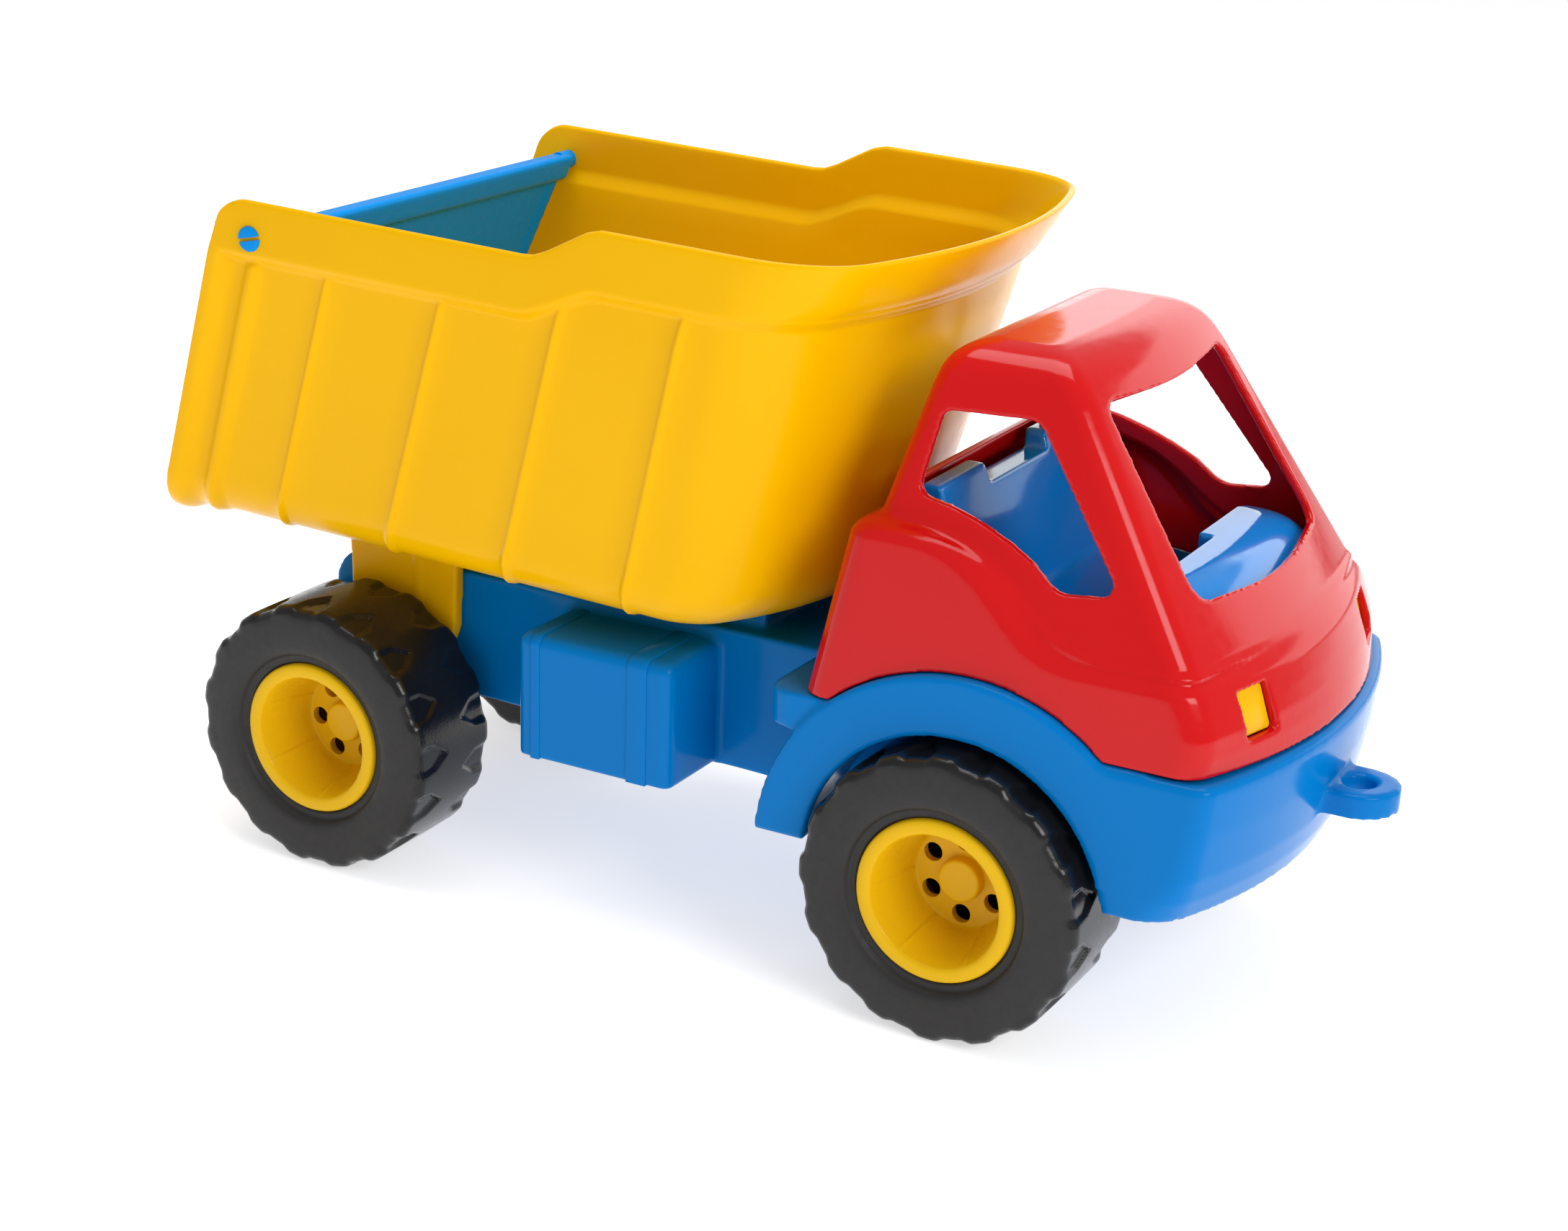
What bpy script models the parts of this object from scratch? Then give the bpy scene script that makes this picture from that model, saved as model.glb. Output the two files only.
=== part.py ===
"""Toy tipper truck: moulded plastic chassis, cab, tipping bed, hinged tailgate and two wheelsets.

Frame: +X is the front of the truck, +Y its left side, +Z up. Ground is z = 0. Lengths are in millimetres
and are scaled to metres when a mesh is made.
"""

import math

import bmesh
import bpy
import numpy as np
from mathutils import Vector

for old in list(bpy.data.objects):
    bpy.data.objects.remove(old, do_unlink=True)

MM = 0.001
GAP = 0.3  # clearance between touching pieces

# wheels
FRONT_AXLE_X = 92.0
REAR_AXLE_X = -134.0
AXLE_Z = 45.0
TYRE_R = 45.0
TYRE_IN = 47.0
TYRE_OUT = 87.0
RIM_R = 25.3
RIM_IN = 47.6
RIM_OUT = 85.6
AXLE_R = 3.0
HUB_DEPTH = 18.0
LUGS = 16
RIM_HOLES = 6
RIM_HOLE_R = 3.0
RIM_HOLE_RING = 11.7

# chassis
RAIL_Y = 39.5
WALL = 3.0
DECK_Z = 95.5
RAIL_BOTTOM_Z = 49.0
RAIL_SLOPE = 0.032
CHASSIS_BACK = -158.0
PLATFORM_BACK = 29.0
PLATFORM_Z = 84.0
PLATFORM_Y = 76.0
ARCH_R = 47.8
FENDER_X = 93.6
FENDER_R = 66.3
FENDER_Y = 77.9
SKIRT_Z = 50.0
BUMPER_BACK = 118.0
# height, half width, nose, nose arc radius, corner radius
BUMPER = [
    (SKIRT_Z, 75.5, 174.8, 165.0, 16.0),
    (66.0, 77.8, 180.6, 203.0, 7.5),
    (80.0, 77.9, 182.8, 206.0, 6.8),
    (DECK_Z - 0.5, 77.9, 184.0, 206.0, 6.4),
]
BOX_X = (-63.8, -7.1)
BOX_Y = 69.8
BOX_Z = (50.5, 91.6)
REST_X = (-7.4, 5.2)
REST_TOP = 102.2
TOW_X = 188.8
TOW_R = 12.3
TOW_HOLE_R = 5.0
TOW_Z = (68.0, 75.5)
TOW_BACK = 170.0
AXLE_LUG_Z = (37.5, 62.0)

# bed, drawn upright and then leaned forward and tilted
LEAN = (0.3765, 0.24)
LEAN_U = (-90.0, 55.0)
LEAN_Z = 200.0
TILT = 0.034
TILT_X = -22.5
BED_BACK = -165.0
BED_FLOOR_Z = 103.5
BED_ARC = 18.0
BED_T = 2.8
LEDGE_W = 87.0
SIDE_TAPER = 0.14
FRONT_U = 51.5
FRONT_TAPER = -0.012
FRONT_R = (130.0, 215.0)
CORNER_R = 29.0
BAND = 3.25
FLARE = 7.0
TOP_LOW = 216.3
TOP_HIGH = 227.5
RAMP_U = (-49.5, -32.5)
REAR_ROUND = 9.0
LEDGE_LOW = 198.3
LEDGE_HIGH = 208.3
RIBS_U = (-119.5, -77.3, -36.5, 4.0)
RIB_H = 1.4
RIB_HALF = 1.9
FLUTE_U = -147.5
FLUTE_HALF = 5.0
FLUTE_H = 2.4
FRAME_U = (-162.0, -154.5)

# tipping hinge
PIVOT_X = -129.5
PIVOT_Z = 76.0
LEG_Y = (39.8, 44.6)
LEG_X = (-148.0, -104.0)
LEG_FOOT_Z = 65.0
PIVOT_R = 4.0

# tailgate, in the bed's upright drawing
GATE_U = -149.9
GATE_Z = 204.6
GATE_T = 2.6
GATE_PIN_R = 3.7
GATE_PIN_END = 91.6
GATE_BAR_HALF = 4.2
GATE_BAR_Z = (-7.0, 2.6)
GATE_SILL = 0.5
GATE_SILL_X = -179.0

# cab
CAB_Z = 95.8
CAB_T = 3.4
LAMP_Y = (38.5, 56.8)
LAMP_Z = (100.2, 118.8)
LAMP_SET = CAB_T + 1.4
LAMP_T = 2.4
CAB_TOP = (189.0, 193.5, 196.8, 199.2, 200.8, 201.8)
CAB_TOP_IN = (0.0, 0.4, 1.6, 4.0, 7.5, 12.0)
SIDE_WINDOW = [
    (73.2, 182.6), (103.0, 184.0), (135.0, 140.4), (118.0, 138.6), (114.2, 139.6),
    (107.0, 145.6), (99.0, 149.8), (90.5, 153.4), (81.0, 156.4), (69.0, 158.6),
]
SIDE_WINDOW_R = [3.0, 6.0, 3.0, 1.0, 0, 0, 0, 0, 0, 3.0]
SCREEN = [
    (-44.8, 189.4), (-24.0, 188.1), (0.0, 188.0), (24.0, 188.1), (44.8, 189.4),
    (49.5, 138.4), (27.0, 136.0), (0.0, 135.2), (-27.0, 136.0), (-49.5, 138.4),
]
SCREEN_R = [4.0, 0, 0, 0, 4.0, 5.0, 0, 0, 0, 5.0]
REAR_WINDOW = [(-45.0, 157.5), (45.0, 157.5), (38.0, 188.0), (-38.0, 188.0)]
LAMP_HOLE_Y = (40.4, 55.2)
LAMP_HOLE_Z = (102.6, 116.4)
DASH_BACK = 128.0
DASH_STEP = (12.0, 132.5)


def smooth(t):
    t = min(max(t, 0.0), 1.0)
    return t * t * (3 - 2 * t)


def ramp(x, xs, ys):
    return float(np.interp(x, xs, ys))


# ---------------------------------------------------------------- scene helpers
def collection(name):
    made = bpy.data.collections.get(name) or bpy.data.collections.new(name)
    if name not in bpy.context.scene.collection.children:
        bpy.context.scene.collection.children.link(made)
    return made


PARTS = collection("toy_dump_truck")
CUTTERS = collection("cutters")
CUTTERS.hide_render = True


def material(name, colour, rough):
    mat = bpy.data.materials.new(name)
    mat.use_nodes = True
    shader = mat.node_tree.nodes["Principled BSDF"]
    shader.inputs["Base Color"].default_value = (*colour, 1)
    shader.inputs["Roughness"].default_value = rough
    return mat


def add(name, verts, faces, mat=None):
    """A mesh object from millimetre points. With no material it is a cutter or a piece to be joined."""
    mesh = bpy.data.meshes.new(name)
    mesh.from_pydata([tuple(c * MM for c in v) for v in verts], [], faces)
    bm = bmesh.new()
    bm.from_mesh(mesh)
    bmesh.ops.remove_doubles(bm, verts=bm.verts, dist=1e-7)
    bmesh.ops.recalc_face_normals(bm, faces=bm.faces)
    bm.to_mesh(mesh)
    bm.free()
    obj = bpy.data.objects.new(name, mesh)
    if mat is None:
        CUTTERS.objects.link(obj)
        obj.hide_render = True
        obj.display_type = "WIRE"
    else:
        PARTS.objects.link(obj)
        mesh.materials.append(mat)
    return obj


def boolean(obj, other, operation):
    mod = obj.modifiers.new(other.name, "BOOLEAN")
    mod.operation = operation
    mod.solver = "EXACT"
    mod.object = other
    return obj


def cut(obj, other):
    return boolean(obj, other, "DIFFERENCE")


def join(obj, other):
    return boolean(obj, other, "UNION")


def prism(name, outline, axis, low, high, mat=None):
    """An outline pushed along one axis. Outline points are (x, z), (x, y) or (y, z) in axis order."""
    place = {
        "x": lambda a, b, c: (c, a, b),
        "y": lambda a, b, c: (a, c, b),
        "z": lambda a, b, c: (a, b, c),
    }[axis]
    n = len(outline)
    verts = [place(a, b, low) for a, b in outline] + [place(a, b, high) for a, b in outline]
    sides = [(i, (i + 1) % n, n + (i + 1) % n, n + i) for i in range(n)]
    return add(name, verts, [tuple(range(n)), tuple(range(n, 2 * n))] + sides, mat)


def box(name, x, y, z, mat=None):
    return prism(name, [(x[0], y[0]), (x[1], y[0]), (x[1], y[1]), (x[0], y[1])], "z", z[0], z[1], mat)


def disc(name, centre, radius, y, steps=32, mat=None):
    ring = [
        (centre[0] + radius * math.cos(a), centre[1] + radius * math.sin(a))
        for a in (2 * math.pi * k / steps for k in range(steps))
    ]
    return prism(name, ring, "y", y[0], y[1], mat)


def rounded(points, radius, steps=4):
    """The outline with each corner turned by an arc. radius is one number or one per corner."""
    out = []
    n = len(points)
    for i in range(n):
        r = radius[i] if isinstance(radius, (list, tuple)) else radius
        here = Vector(points[i])
        to_last = (Vector(points[i - 1]) - here).normalized()
        to_next = (Vector(points[(i + 1) % n]) - here).normalized()
        half = to_last.angle(to_next) / 2
        if r <= 0 or half > math.pi / 2 - 0.02:
            out.append(tuple(here))
            continue
        run = r / math.tan(half)
        centre = here + (to_last + to_next).normalized() * (r / math.sin(half))
        a = here + to_last * run - centre
        b = here + to_next * run - centre
        turn = a.angle_signed(b)
        for k in range(steps + 1):
            spin = -turn * k / steps
            out.append(
                (
                    centre.x + a.x * math.cos(spin) - a.y * math.sin(spin),
                    centre.y + a.x * math.sin(spin) + a.y * math.cos(spin),
                )
            )
    return out


def lathe(name, profile, x, z, mirror, steps, mat=None):
    """A closed (radius, y) profile turned about the line at x, z. Points on the axis share one vertex."""
    verts = []
    rings = []
    for r, y in profile:
        if r < 1e-6:
            rings.append([len(verts)] * steps)
            verts.append((x, y * mirror, z))
            continue
        rings.append(list(range(len(verts), len(verts) + steps)))
        for k in range(steps):
            a = 2 * math.pi * k / steps
            verts.append((x + r * math.cos(a), y * mirror, z + r * math.sin(a)))
    faces = []
    for i in range(len(rings)):
        here, there = rings[i], rings[(i + 1) % len(rings)]
        if len(set(here)) == 1 and len(set(there)) == 1:
            continue
        for k in range(steps):
            corners = [here[k], here[(k + 1) % steps], there[(k + 1) % steps], there[k]]
            kept = [c for j, c in enumerate(corners) if c != corners[j - 1]]
            faces.append(tuple(kept))
    return add(name, verts, faces, mat)


# ---------------------------------------------------------------- plan outlines
def half_plan(back, half_w, front, arc_r, corner_r, straight, offset, corner_steps, arc_steps):
    """Points and outward normals of one half of a U-shaped plan, from the back right to the nose."""
    arc_x = front - arc_r
    corner_y = -(half_w - corner_r)
    corner_x = arc_x + math.sqrt((arc_r - corner_r) ** 2 - corner_y**2)
    end = math.atan2(corner_y, corner_x - arc_x)
    out = [(u, -half_w - offset, 0.0, -1.0) for u in straight]
    for k in range(corner_steps + 1):
        a = -math.pi / 2 + (end + math.pi / 2) * k / corner_steps
        nx, ny = math.cos(a), math.sin(a)
        out.append((corner_x + (corner_r + offset) * nx, corner_y + (corner_r + offset) * ny, nx, ny))
    for k in range(1, arc_steps + 1):
        a = end * (1 - k / arc_steps)
        nx, ny = math.cos(a), math.sin(a)
        out.append((arc_x + (arc_r + offset) * nx, (arc_r + offset) * ny, nx, ny))
    return out


def mirrored(half):
    """The whole row from one half: the last point lies on the centre plane."""
    return half + [(p[0], -p[1]) + tuple(p[2:]) for p in reversed(half[:-1])]


# ---------------------------------------------------------------- bed
CORNER_STEPS = 5
ARC_STEPS = 5


def bed_stations():
    rear = [BED_BACK, BED_BACK + 1.0, BED_BACK + 3.4, BED_BACK + 7, BED_BACK + REAR_ROUND]
    frame = list(FRAME_U)
    flute = [FLUTE_U + FLUTE_HALF * k / 2 for k in range(-2, 3)]
    ribs = [r + RIB_HALF * k for r in RIBS_U for k in (-1, 0, 1)]
    extra = [-132.0, -97.0, -58.0, RAMP_U[0], (RAMP_U[0] + RAMP_U[1]) / 2, RAMP_U[1] + 0.6, -14.0]
    return sorted(set(round(u, 3) for u in rear + frame + flute + ribs + extra))


def bed_top(u):
    top = ramp(u, RAMP_U, (TOP_LOW, TOP_HIGH))
    past = BED_BACK + REAR_ROUND - u
    if past > 0:
        top -= REAR_ROUND - math.sqrt(max(REAR_ROUND**2 - past**2, 0.0))
    return top


def bed_ledge(u):
    return ramp(u, (RAMP_U[0] + 4, RAMP_U[1] + 4), (LEDGE_LOW, LEDGE_HIGH))


def bump(u, centre, half, height):
    t = abs(u - centre) / half
    return height * math.cos(t * math.pi / 2) ** 2 if t < 1 else 0.0


def frame_bump(u):
    return BAND * (1 - smooth((u - FRAME_U[0]) / (FRAME_U[1] - FRAME_U[0])))


def rib_bump(u):
    ribs = sum(bump(u, r, RIB_HALF, RIB_H) for r in RIBS_U)
    return ribs + bump(u, FLUTE_U, FLUTE_HALF, FLUTE_H)


def bed_width(z):
    return LEDGE_W - SIDE_TAPER * (LEDGE_LOW - max(min(z, LEDGE_LOW), BED_FLOOR_Z + BED_ARC))


def bed_front(z):
    return FRONT_U - FRONT_TAPER * (206.0 - min(z, 206.0))


def bed_section(u, inner):
    """Levels up one side: height, offset from the wall line, normal (across, up), rib share, lip share."""
    t = BED_T if inner else 0.0
    r = BED_ARC - t
    levels = []
    for k in range(5):
        a = -math.pi / 2 + math.pi / 2 * k / 4
        across, up = math.cos(a), math.sin(a)
        share = 0.0 if inner else smooth(k / 2)
        levels.append((BED_FLOOR_Z + BED_ARC + r * up, r * across - BED_ARC, across, up, share, 0.0))
    top = bed_top(u)
    ledge = min(bed_ledge(u), top - 6) + (1.2 if inner else 0.0)
    start = BED_FLOOR_Z + BED_ARC
    share = 0.0 if inner else 1.0
    levels.append(((start + ledge) / 2, -t, 1.0, 0.0, share, 0.0))
    for up, out, s in ((-3.0, 0.0, 1.0), (-1.0, 0.4, 0.5), (0.2, BAND * 0.7, 0.0), (1.6, BAND, 0.0)):
        levels.append((ledge + up, out - t, 1.0, 0.0, share * s, 0.0))
    side = 1.0 if inner else -1.0
    for down, slim in ((3.2, 0.0), (1.0, 0.25), (0.0, 0.9)):
        lip = (top - down - ledge) / (top - ledge)
        levels.append((top - down, BAND - t + side * slim, 1.0, 0.0, 0.0, lip))
    return levels


def bed_world(u, y, z):
    """From the upright drawing to the truck's frame: leaned forward, then tilted a little nose down."""
    x = u + ramp(u, LEAN_U, LEAN) * (z - LEAN_Z)
    return (x, y, z - TILT * (x - TILT_X))


def bed_row(level, inner):
    straight = bed_stations()
    zs = [bed_section(u, inner)[level] for u in straight]
    flat = bed_section(60.0, inner)[level]
    arc_r = ramp(flat[0], (BED_FLOOR_Z, LEDGE_HIGH), FRONT_R)
    width, front = bed_width(flat[0]), bed_front(flat[0])
    half = half_plan(BED_BACK, width, front, arc_r, CORNER_R, straight, 0.0, CORNER_STEPS, ARC_STEPS)
    row = []
    count = len(straight)
    for i, (u, y, nx, ny) in enumerate(half):
        z, out, across, up, share, lip = zs[i] if i < count else flat
        if i < count:
            y = -bed_width(z)
        flare = FLARE * lip * smooth((i - count) / CORNER_STEPS)
        grow = out + flare
        lift = 0.0
        if not inner:
            ribs = rib_bump(u) * share
            grow = max(out, -BED_ARC + (BED_ARC + frame_bump(u)) * across) + ribs * across + flare
            lift = (frame_bump(u) + ribs) * up
        row.append((u + grow * nx, y + grow * ny, z + lift))
    return mirrored(row)


def bed_shell(name, mat):
    verts = []
    rows = []
    for inner in (False, True):
        for level in range(len(bed_section(0.0, inner))):
            row = bed_row(level, inner)
            rows.append([len(verts) + i for i in range(len(row))])
            verts += [bed_world(*p) for p in row]
    levels = len(rows) // 2
    n = len(rows[0])
    faces = []
    for k in range(levels - 1):
        for i in range(n - 1):
            for base in (k, levels + k):
                low, high = rows[base], rows[base + 1]
                faces.append((low[i], low[i + 1], high[i + 1], high[i]))
        for i in (0, n - 1):
            faces.append((rows[k][i], rows[k + 1][i], rows[levels + k + 1][i], rows[levels + k][i]))
    last = levels - 1
    for i in range(n - 1):
        faces.append((rows[last][i], rows[last][i + 1], rows[levels + last][i + 1], rows[levels + last][i]))
    for base in (0, levels):
        row = rows[base]
        for i in range(n // 2):
            faces.append(tuple(dict.fromkeys((row[i], row[i + 1], row[n - 2 - i], row[n - 1 - i]))))
    faces.append((rows[0][0], rows[levels][0], rows[levels][n - 1], rows[0][n - 1]))
    return add(name, verts, faces, mat)


def bed_floor(x):
    """Height of the floor's upper face."""
    return BED_FLOOR_Z + BED_T - TILT * (x - TILT_X)


def leg_outline():
    """From inside the bed floor straight down past the pivot, round at the foot."""
    corners = [(x, bed_floor(x) - BED_T / 2) for x in LEG_X]
    foot = [(LEG_X[1] - 2.0, LEG_FOOT_Z), (LEG_X[0] + 1.0, LEG_FOOT_Z)]
    return rounded(corners + foot, [0, 0, 14.0, 14.0])


def build_bed(mat):
    bed = bed_shell("dump_bed", mat)
    for side in (-1, 1):
        y = sorted((side * LEG_Y[0], side * LEG_Y[1]))
        join(bed, prism(f"bed_leg_{side}", leg_outline(), "y", y[0], y[1]))
    cut(bed, disc("bed_pivot_bore", (PIVOT_X, PIVOT_Z), PIVOT_R + GAP, (-60, 60)))
    steps = ((-215.0, -GATE_SILL), (GATE_SILL_X, -GATE_SILL), (GATE_SILL_X, 3.0), (-215.0, 3.0))
    sill = [(x, bed_floor(x) + up) for x, up in steps]
    cut(bed, prism("gate_sill", sill, "y", -80.0, 80.0))
    pin_x, _, pin_z = bed_world(GATE_U, 0, GATE_Z)
    cut(bed, disc("bed_gate_bore", (pin_x, pin_z), GATE_PIN_R + GAP, (-100, 100)))
    return bed


# ---------------------------------------------------------------- tailgate
def build_tailgate(mat):
    """A thin panel between the bed walls with a stiff top bar, a rim and two pins at its top corners."""
    floor = BED_FLOOR_Z + BED_T + GAP - GATE_SILL
    half = GATE_T / 2
    arc = BED_ARC - BED_T
    ring = []
    for k in range(6):
        a = -math.pi / 2 + math.pi / 2 * k / 5
        z = floor + arc + arc * math.sin(a)
        ring.append((bed_width(z) - BED_ARC + (arc - 1.2) * math.cos(a), z))
    for z in (150.0, 180.0, 196.0):
        ring.append((bed_width(z) - BED_T - 0.8, z))
    ring.append((LEDGE_W - BED_T - 0.8, GATE_Z + 2.0))
    outline = ring + [(-y, z) for y, z in reversed(ring)]
    verts = [bed_world(GATE_U + u, y, z) for u in (-half, half) for y, z in outline]
    n = len(outline)
    sides = [(i, (i + 1) % n, n + (i + 1) % n, n + i) for i in range(n)]
    gate = add("tailgate", verts, [tuple(range(n)), tuple(range(n, 2 * n))] + sides, mat)
    wide = LEDGE_W - BED_T - 0.8
    thick = GATE_BAR_HALF
    low, high = GATE_BAR_Z
    corners = [(-thick, low), (thick, low), (thick, high), (-thick, high)]
    bar = [(GATE_U + u, GATE_Z + z) for u, z in rounded(corners, 2.0)]
    ends = [bed_world(u, -wide, z) for u, z in bar] + [bed_world(u, wide, z) for u, z in bar]
    m = len(bar)
    walls = [(i, (i + 1) % m, m + (i + 1) % m, m + i) for i in range(m)]
    join(gate, add("gate_bar", ends, [tuple(range(m)), tuple(range(m, 2 * m))] + walls))
    pin_x, _, pin_z = bed_world(GATE_U, 0, GATE_Z)
    for side in (-1, 1):
        y = sorted((side * (wide - 4), side * GATE_PIN_END))
        join(gate, disc(f"gate_pin_{side}", (pin_x, pin_z), GATE_PIN_R, y, 24))
        slit = sorted((side * (GATE_PIN_END - 3.6), side * 95))
        cut(gate, box(f"gate_slit_{side}", (pin_x - 6, pin_x + 6), slit, (pin_z - 0.5, pin_z + 0.5)))
    return gate


# ---------------------------------------------------------------- chassis
def loft_plan(name, levels, back, mat=None):
    """A solid between plan outlines: levels are (z, half width, front, arc radius, corner radius)."""
    rows = []
    verts = []
    for z, half_w, front, arc_r, corner_r in levels:
        half = half_plan(back, half_w, front, arc_r, corner_r, [back], 0.0, 6, 8)
        row = mirrored([(p[0], p[1]) for p in half])
        rows.append([len(verts) + i for i in range(len(row))])
        verts += [(x, y, z) for x, y in row]
    n = len(rows[0])
    faces = [tuple(rows[0]), tuple(rows[-1])]
    for low, high in zip(rows, rows[1:]):
        faces += [(low[i], low[(i + 1) % n], high[(i + 1) % n], high[i]) for i in range(n)]
    return add(name, verts, faces, mat)


def rail_bottom(x):
    return RAIL_BOTTOM_Z - RAIL_SLOPE * min(x - 12.0, 0.0)


def beam_outline(inset, low_extra, top):
    back = CHASSIS_BACK + inset
    corner = max(14.0 - inset, 1.0)
    front = 170.0 - inset
    rear_low, front_low = rail_bottom(back) - low_extra, SKIRT_Z - low_extra
    corners = [(back, rear_low), (back, top), (front, top), (front, front_low)]
    outline = rounded(corners, [0, corner, 0, 0], 6)
    return outline + [(12.0, RAIL_BOTTOM_Z - low_extra)]


def sector(name, inner_r, outer_r, low_z, front_deg, y, steps=28):
    """An arch over the front wheel, from front_deg above the level of the axle back and down to low_z."""
    points = []
    for x, r, order in ((FENDER_X, outer_r, 1), (FRONT_AXLE_X, inner_r, -1)):
        start = math.radians(front_deg)
        end = math.pi - math.asin((low_z - AXLE_Z) / r)
        angles = [start + (end - start) * k / steps for k in range(steps + 1)]
        points += [(x + r * math.cos(a), AXLE_Z + r * math.sin(a)) for a in angles[::order]]
    return prism(name, points, "y", y[0], y[1])


def build_chassis(mat):
    chassis = prism("chassis", beam_outline(0.0, 0.0, DECK_Z), "y", -RAIL_Y, RAIL_Y, mat)
    for side in (-1, 1):
        y = sorted((side * (RAIL_Y - 1), side * BOX_Y))
        join(chassis, box(f"side_box_{side}", BOX_X, y, BOX_Z))
    back, front = PLATFORM_BACK, BUMPER_BACK + 32
    corners = [(back, -PLATFORM_Y), (front, -PLATFORM_Y), (front, PLATFORM_Y), (back, PLATFORM_Y)]
    platform = rounded(corners, [8, 0, 0, 8])
    join(chassis, prism("cab_platform", platform, "z", PLATFORM_Z, DECK_Z))
    for side in (-1, 1):
        y = sorted((side * 58.0, side * FENDER_Y))
        join(chassis, sector(f"fender_{side}", ARCH_R - 1, FENDER_R, SKIRT_Z, 45.0, y))
    join(chassis, loft_plan("bumper", BUMPER, BUMPER_BACK))
    turns = [math.pi * (k / 24 - 0.5) for k in range(25)]
    tow = [(TOW_X + TOW_R * math.cos(a), TOW_R * math.sin(a)) for a in turns]
    tow += [(TOW_BACK, TOW_R), (TOW_BACK, -TOW_R)]
    join(chassis, prism("tow_tongue", tow, "z", TOW_Z[0], TOW_Z[1]))
    join(chassis, box("bed_rest", REST_X, (-33, 33), (DECK_Z - 1, REST_TOP)))
    beam_hollow = beam_outline(WALL, 8.0, DECK_Z - WALL)
    cut(chassis, prism("beam_hollow", beam_hollow, "y", WALL - RAIL_Y, RAIL_Y - WALL))
    hollow = [(z, w - WALL, nose - WALL, arc_r, corner - WALL) for z, w, nose, arc_r, corner in BUMPER]
    hollow[0] = (hollow[0][0] - 5.0, *hollow[0][1:])
    hollow[-1] = (DECK_Z - WALL - 0.5, *hollow[-1][1:])
    cut(chassis, loft_plan("bumper_hollow", hollow, FRONT_AXLE_X + 52.0))
    for side in (-1, 1):
        y = sorted((side * RAIL_Y, side * (BOX_Y - WALL)))
        hollow_x = (BOX_X[0] + WALL, BOX_X[1] - WALL)
        cut(chassis, box(f"box_hollow_{side}", hollow_x, y, (BOX_Z[0] - 5, BOX_Z[1] - WALL)))
        y = sorted((side * 61.0, side * (FENDER_Y - WALL)))
        hollow = sector(f"fender_hollow_{side}", ARCH_R + WALL, FENDER_R - WALL, SKIRT_Z - 4, 28.0, y, 20)
        cut(chassis, hollow)
        y = sorted((side * RAIL_Y, side * 90.0))
        cut(chassis, disc(f"wheel_well_{side}", (FRONT_AXLE_X, AXLE_Z), ARCH_R, y, 64))
        for name, x in (("front", FRONT_AXLE_X), ("rear", REAR_AXLE_X)):
            y = sorted((side * 31.0, side * RAIL_Y))
            low, high = AXLE_LUG_Z
            lug = rounded([(x - 9, low), (x + 9, low), (x + 12, high), (x - 12, high)], [7, 7, 0, 0])
            join(chassis, prism(f"bearing_{name}_{side}", lug, "y", y[0], y[1]))
    for name, x in (("front", FRONT_AXLE_X), ("rear", REAR_AXLE_X)):
        cut(chassis, disc(f"axle_bore_{name}", (x, AXLE_Z), AXLE_R + GAP, (-60, 60), 24))
    cut(chassis, disc("pivot_bore", (PIVOT_X, PIVOT_Z), PIVOT_R + GAP, (-60, 60), 24))
    around = np.linspace(0, 2 * math.pi, 25)[:-1]
    hole = [(TOW_X + TOW_HOLE_R * math.cos(a), TOW_HOLE_R * math.sin(a)) for a in around]
    cut(chassis, prism("tow_hole", hole, "z", 60, 90))
    return chassis


# ---------------------------------------------------------------- cab
CAB_SIDE = 13
# the line where the greenhouse meets the shoulder, and the shoulder's outer edge below it
CREASE_X = (52.0, 66.0, 72.2, 78.3, 89.4, 98.7, 104.6, 110.3, 116.6, 121.0, 160.0)
CREASE_Z = (149.6, 150.0, 149.7, 148.9, 145.9, 139.7, 132.4, 126.2, 122.9, 121.9, 121.9)
CREST_X = (52.0, 64.0, 73.7, 83.0, 92.7, 99.1, 105.6, 112.0, 120.0, 160.0)
CREST_Z = (145.6, 146.0, 145.8, 143.4, 136.9, 128.9, 121.8, 118.6, 117.6, 117.6)


def cab_plan(z, upper):
    """(back, half width, front, front arc radius, rear corner, front corner) of the lower or upper body."""
    if upper:
        half_w = 64.3 + 0.24 * (150.0 - z)
        return (57.0 + 0.26 * (z - 152.0), half_w, 157.2 - 0.683 * (z - 137.0), 300.0, 7.0, 7.0)
    half_w = 76.6 - 0.105 * (z - 95.0)
    front = 182.0 - 10.5 * ((z - 95.0) / 28.0) ** 1.15
    return (40.5 + 0.19 * (z - 97.0), half_w, front, ramp(z, (95.0, 123.0), (168.0, 230.0)), 9.0, 9.5)


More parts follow.
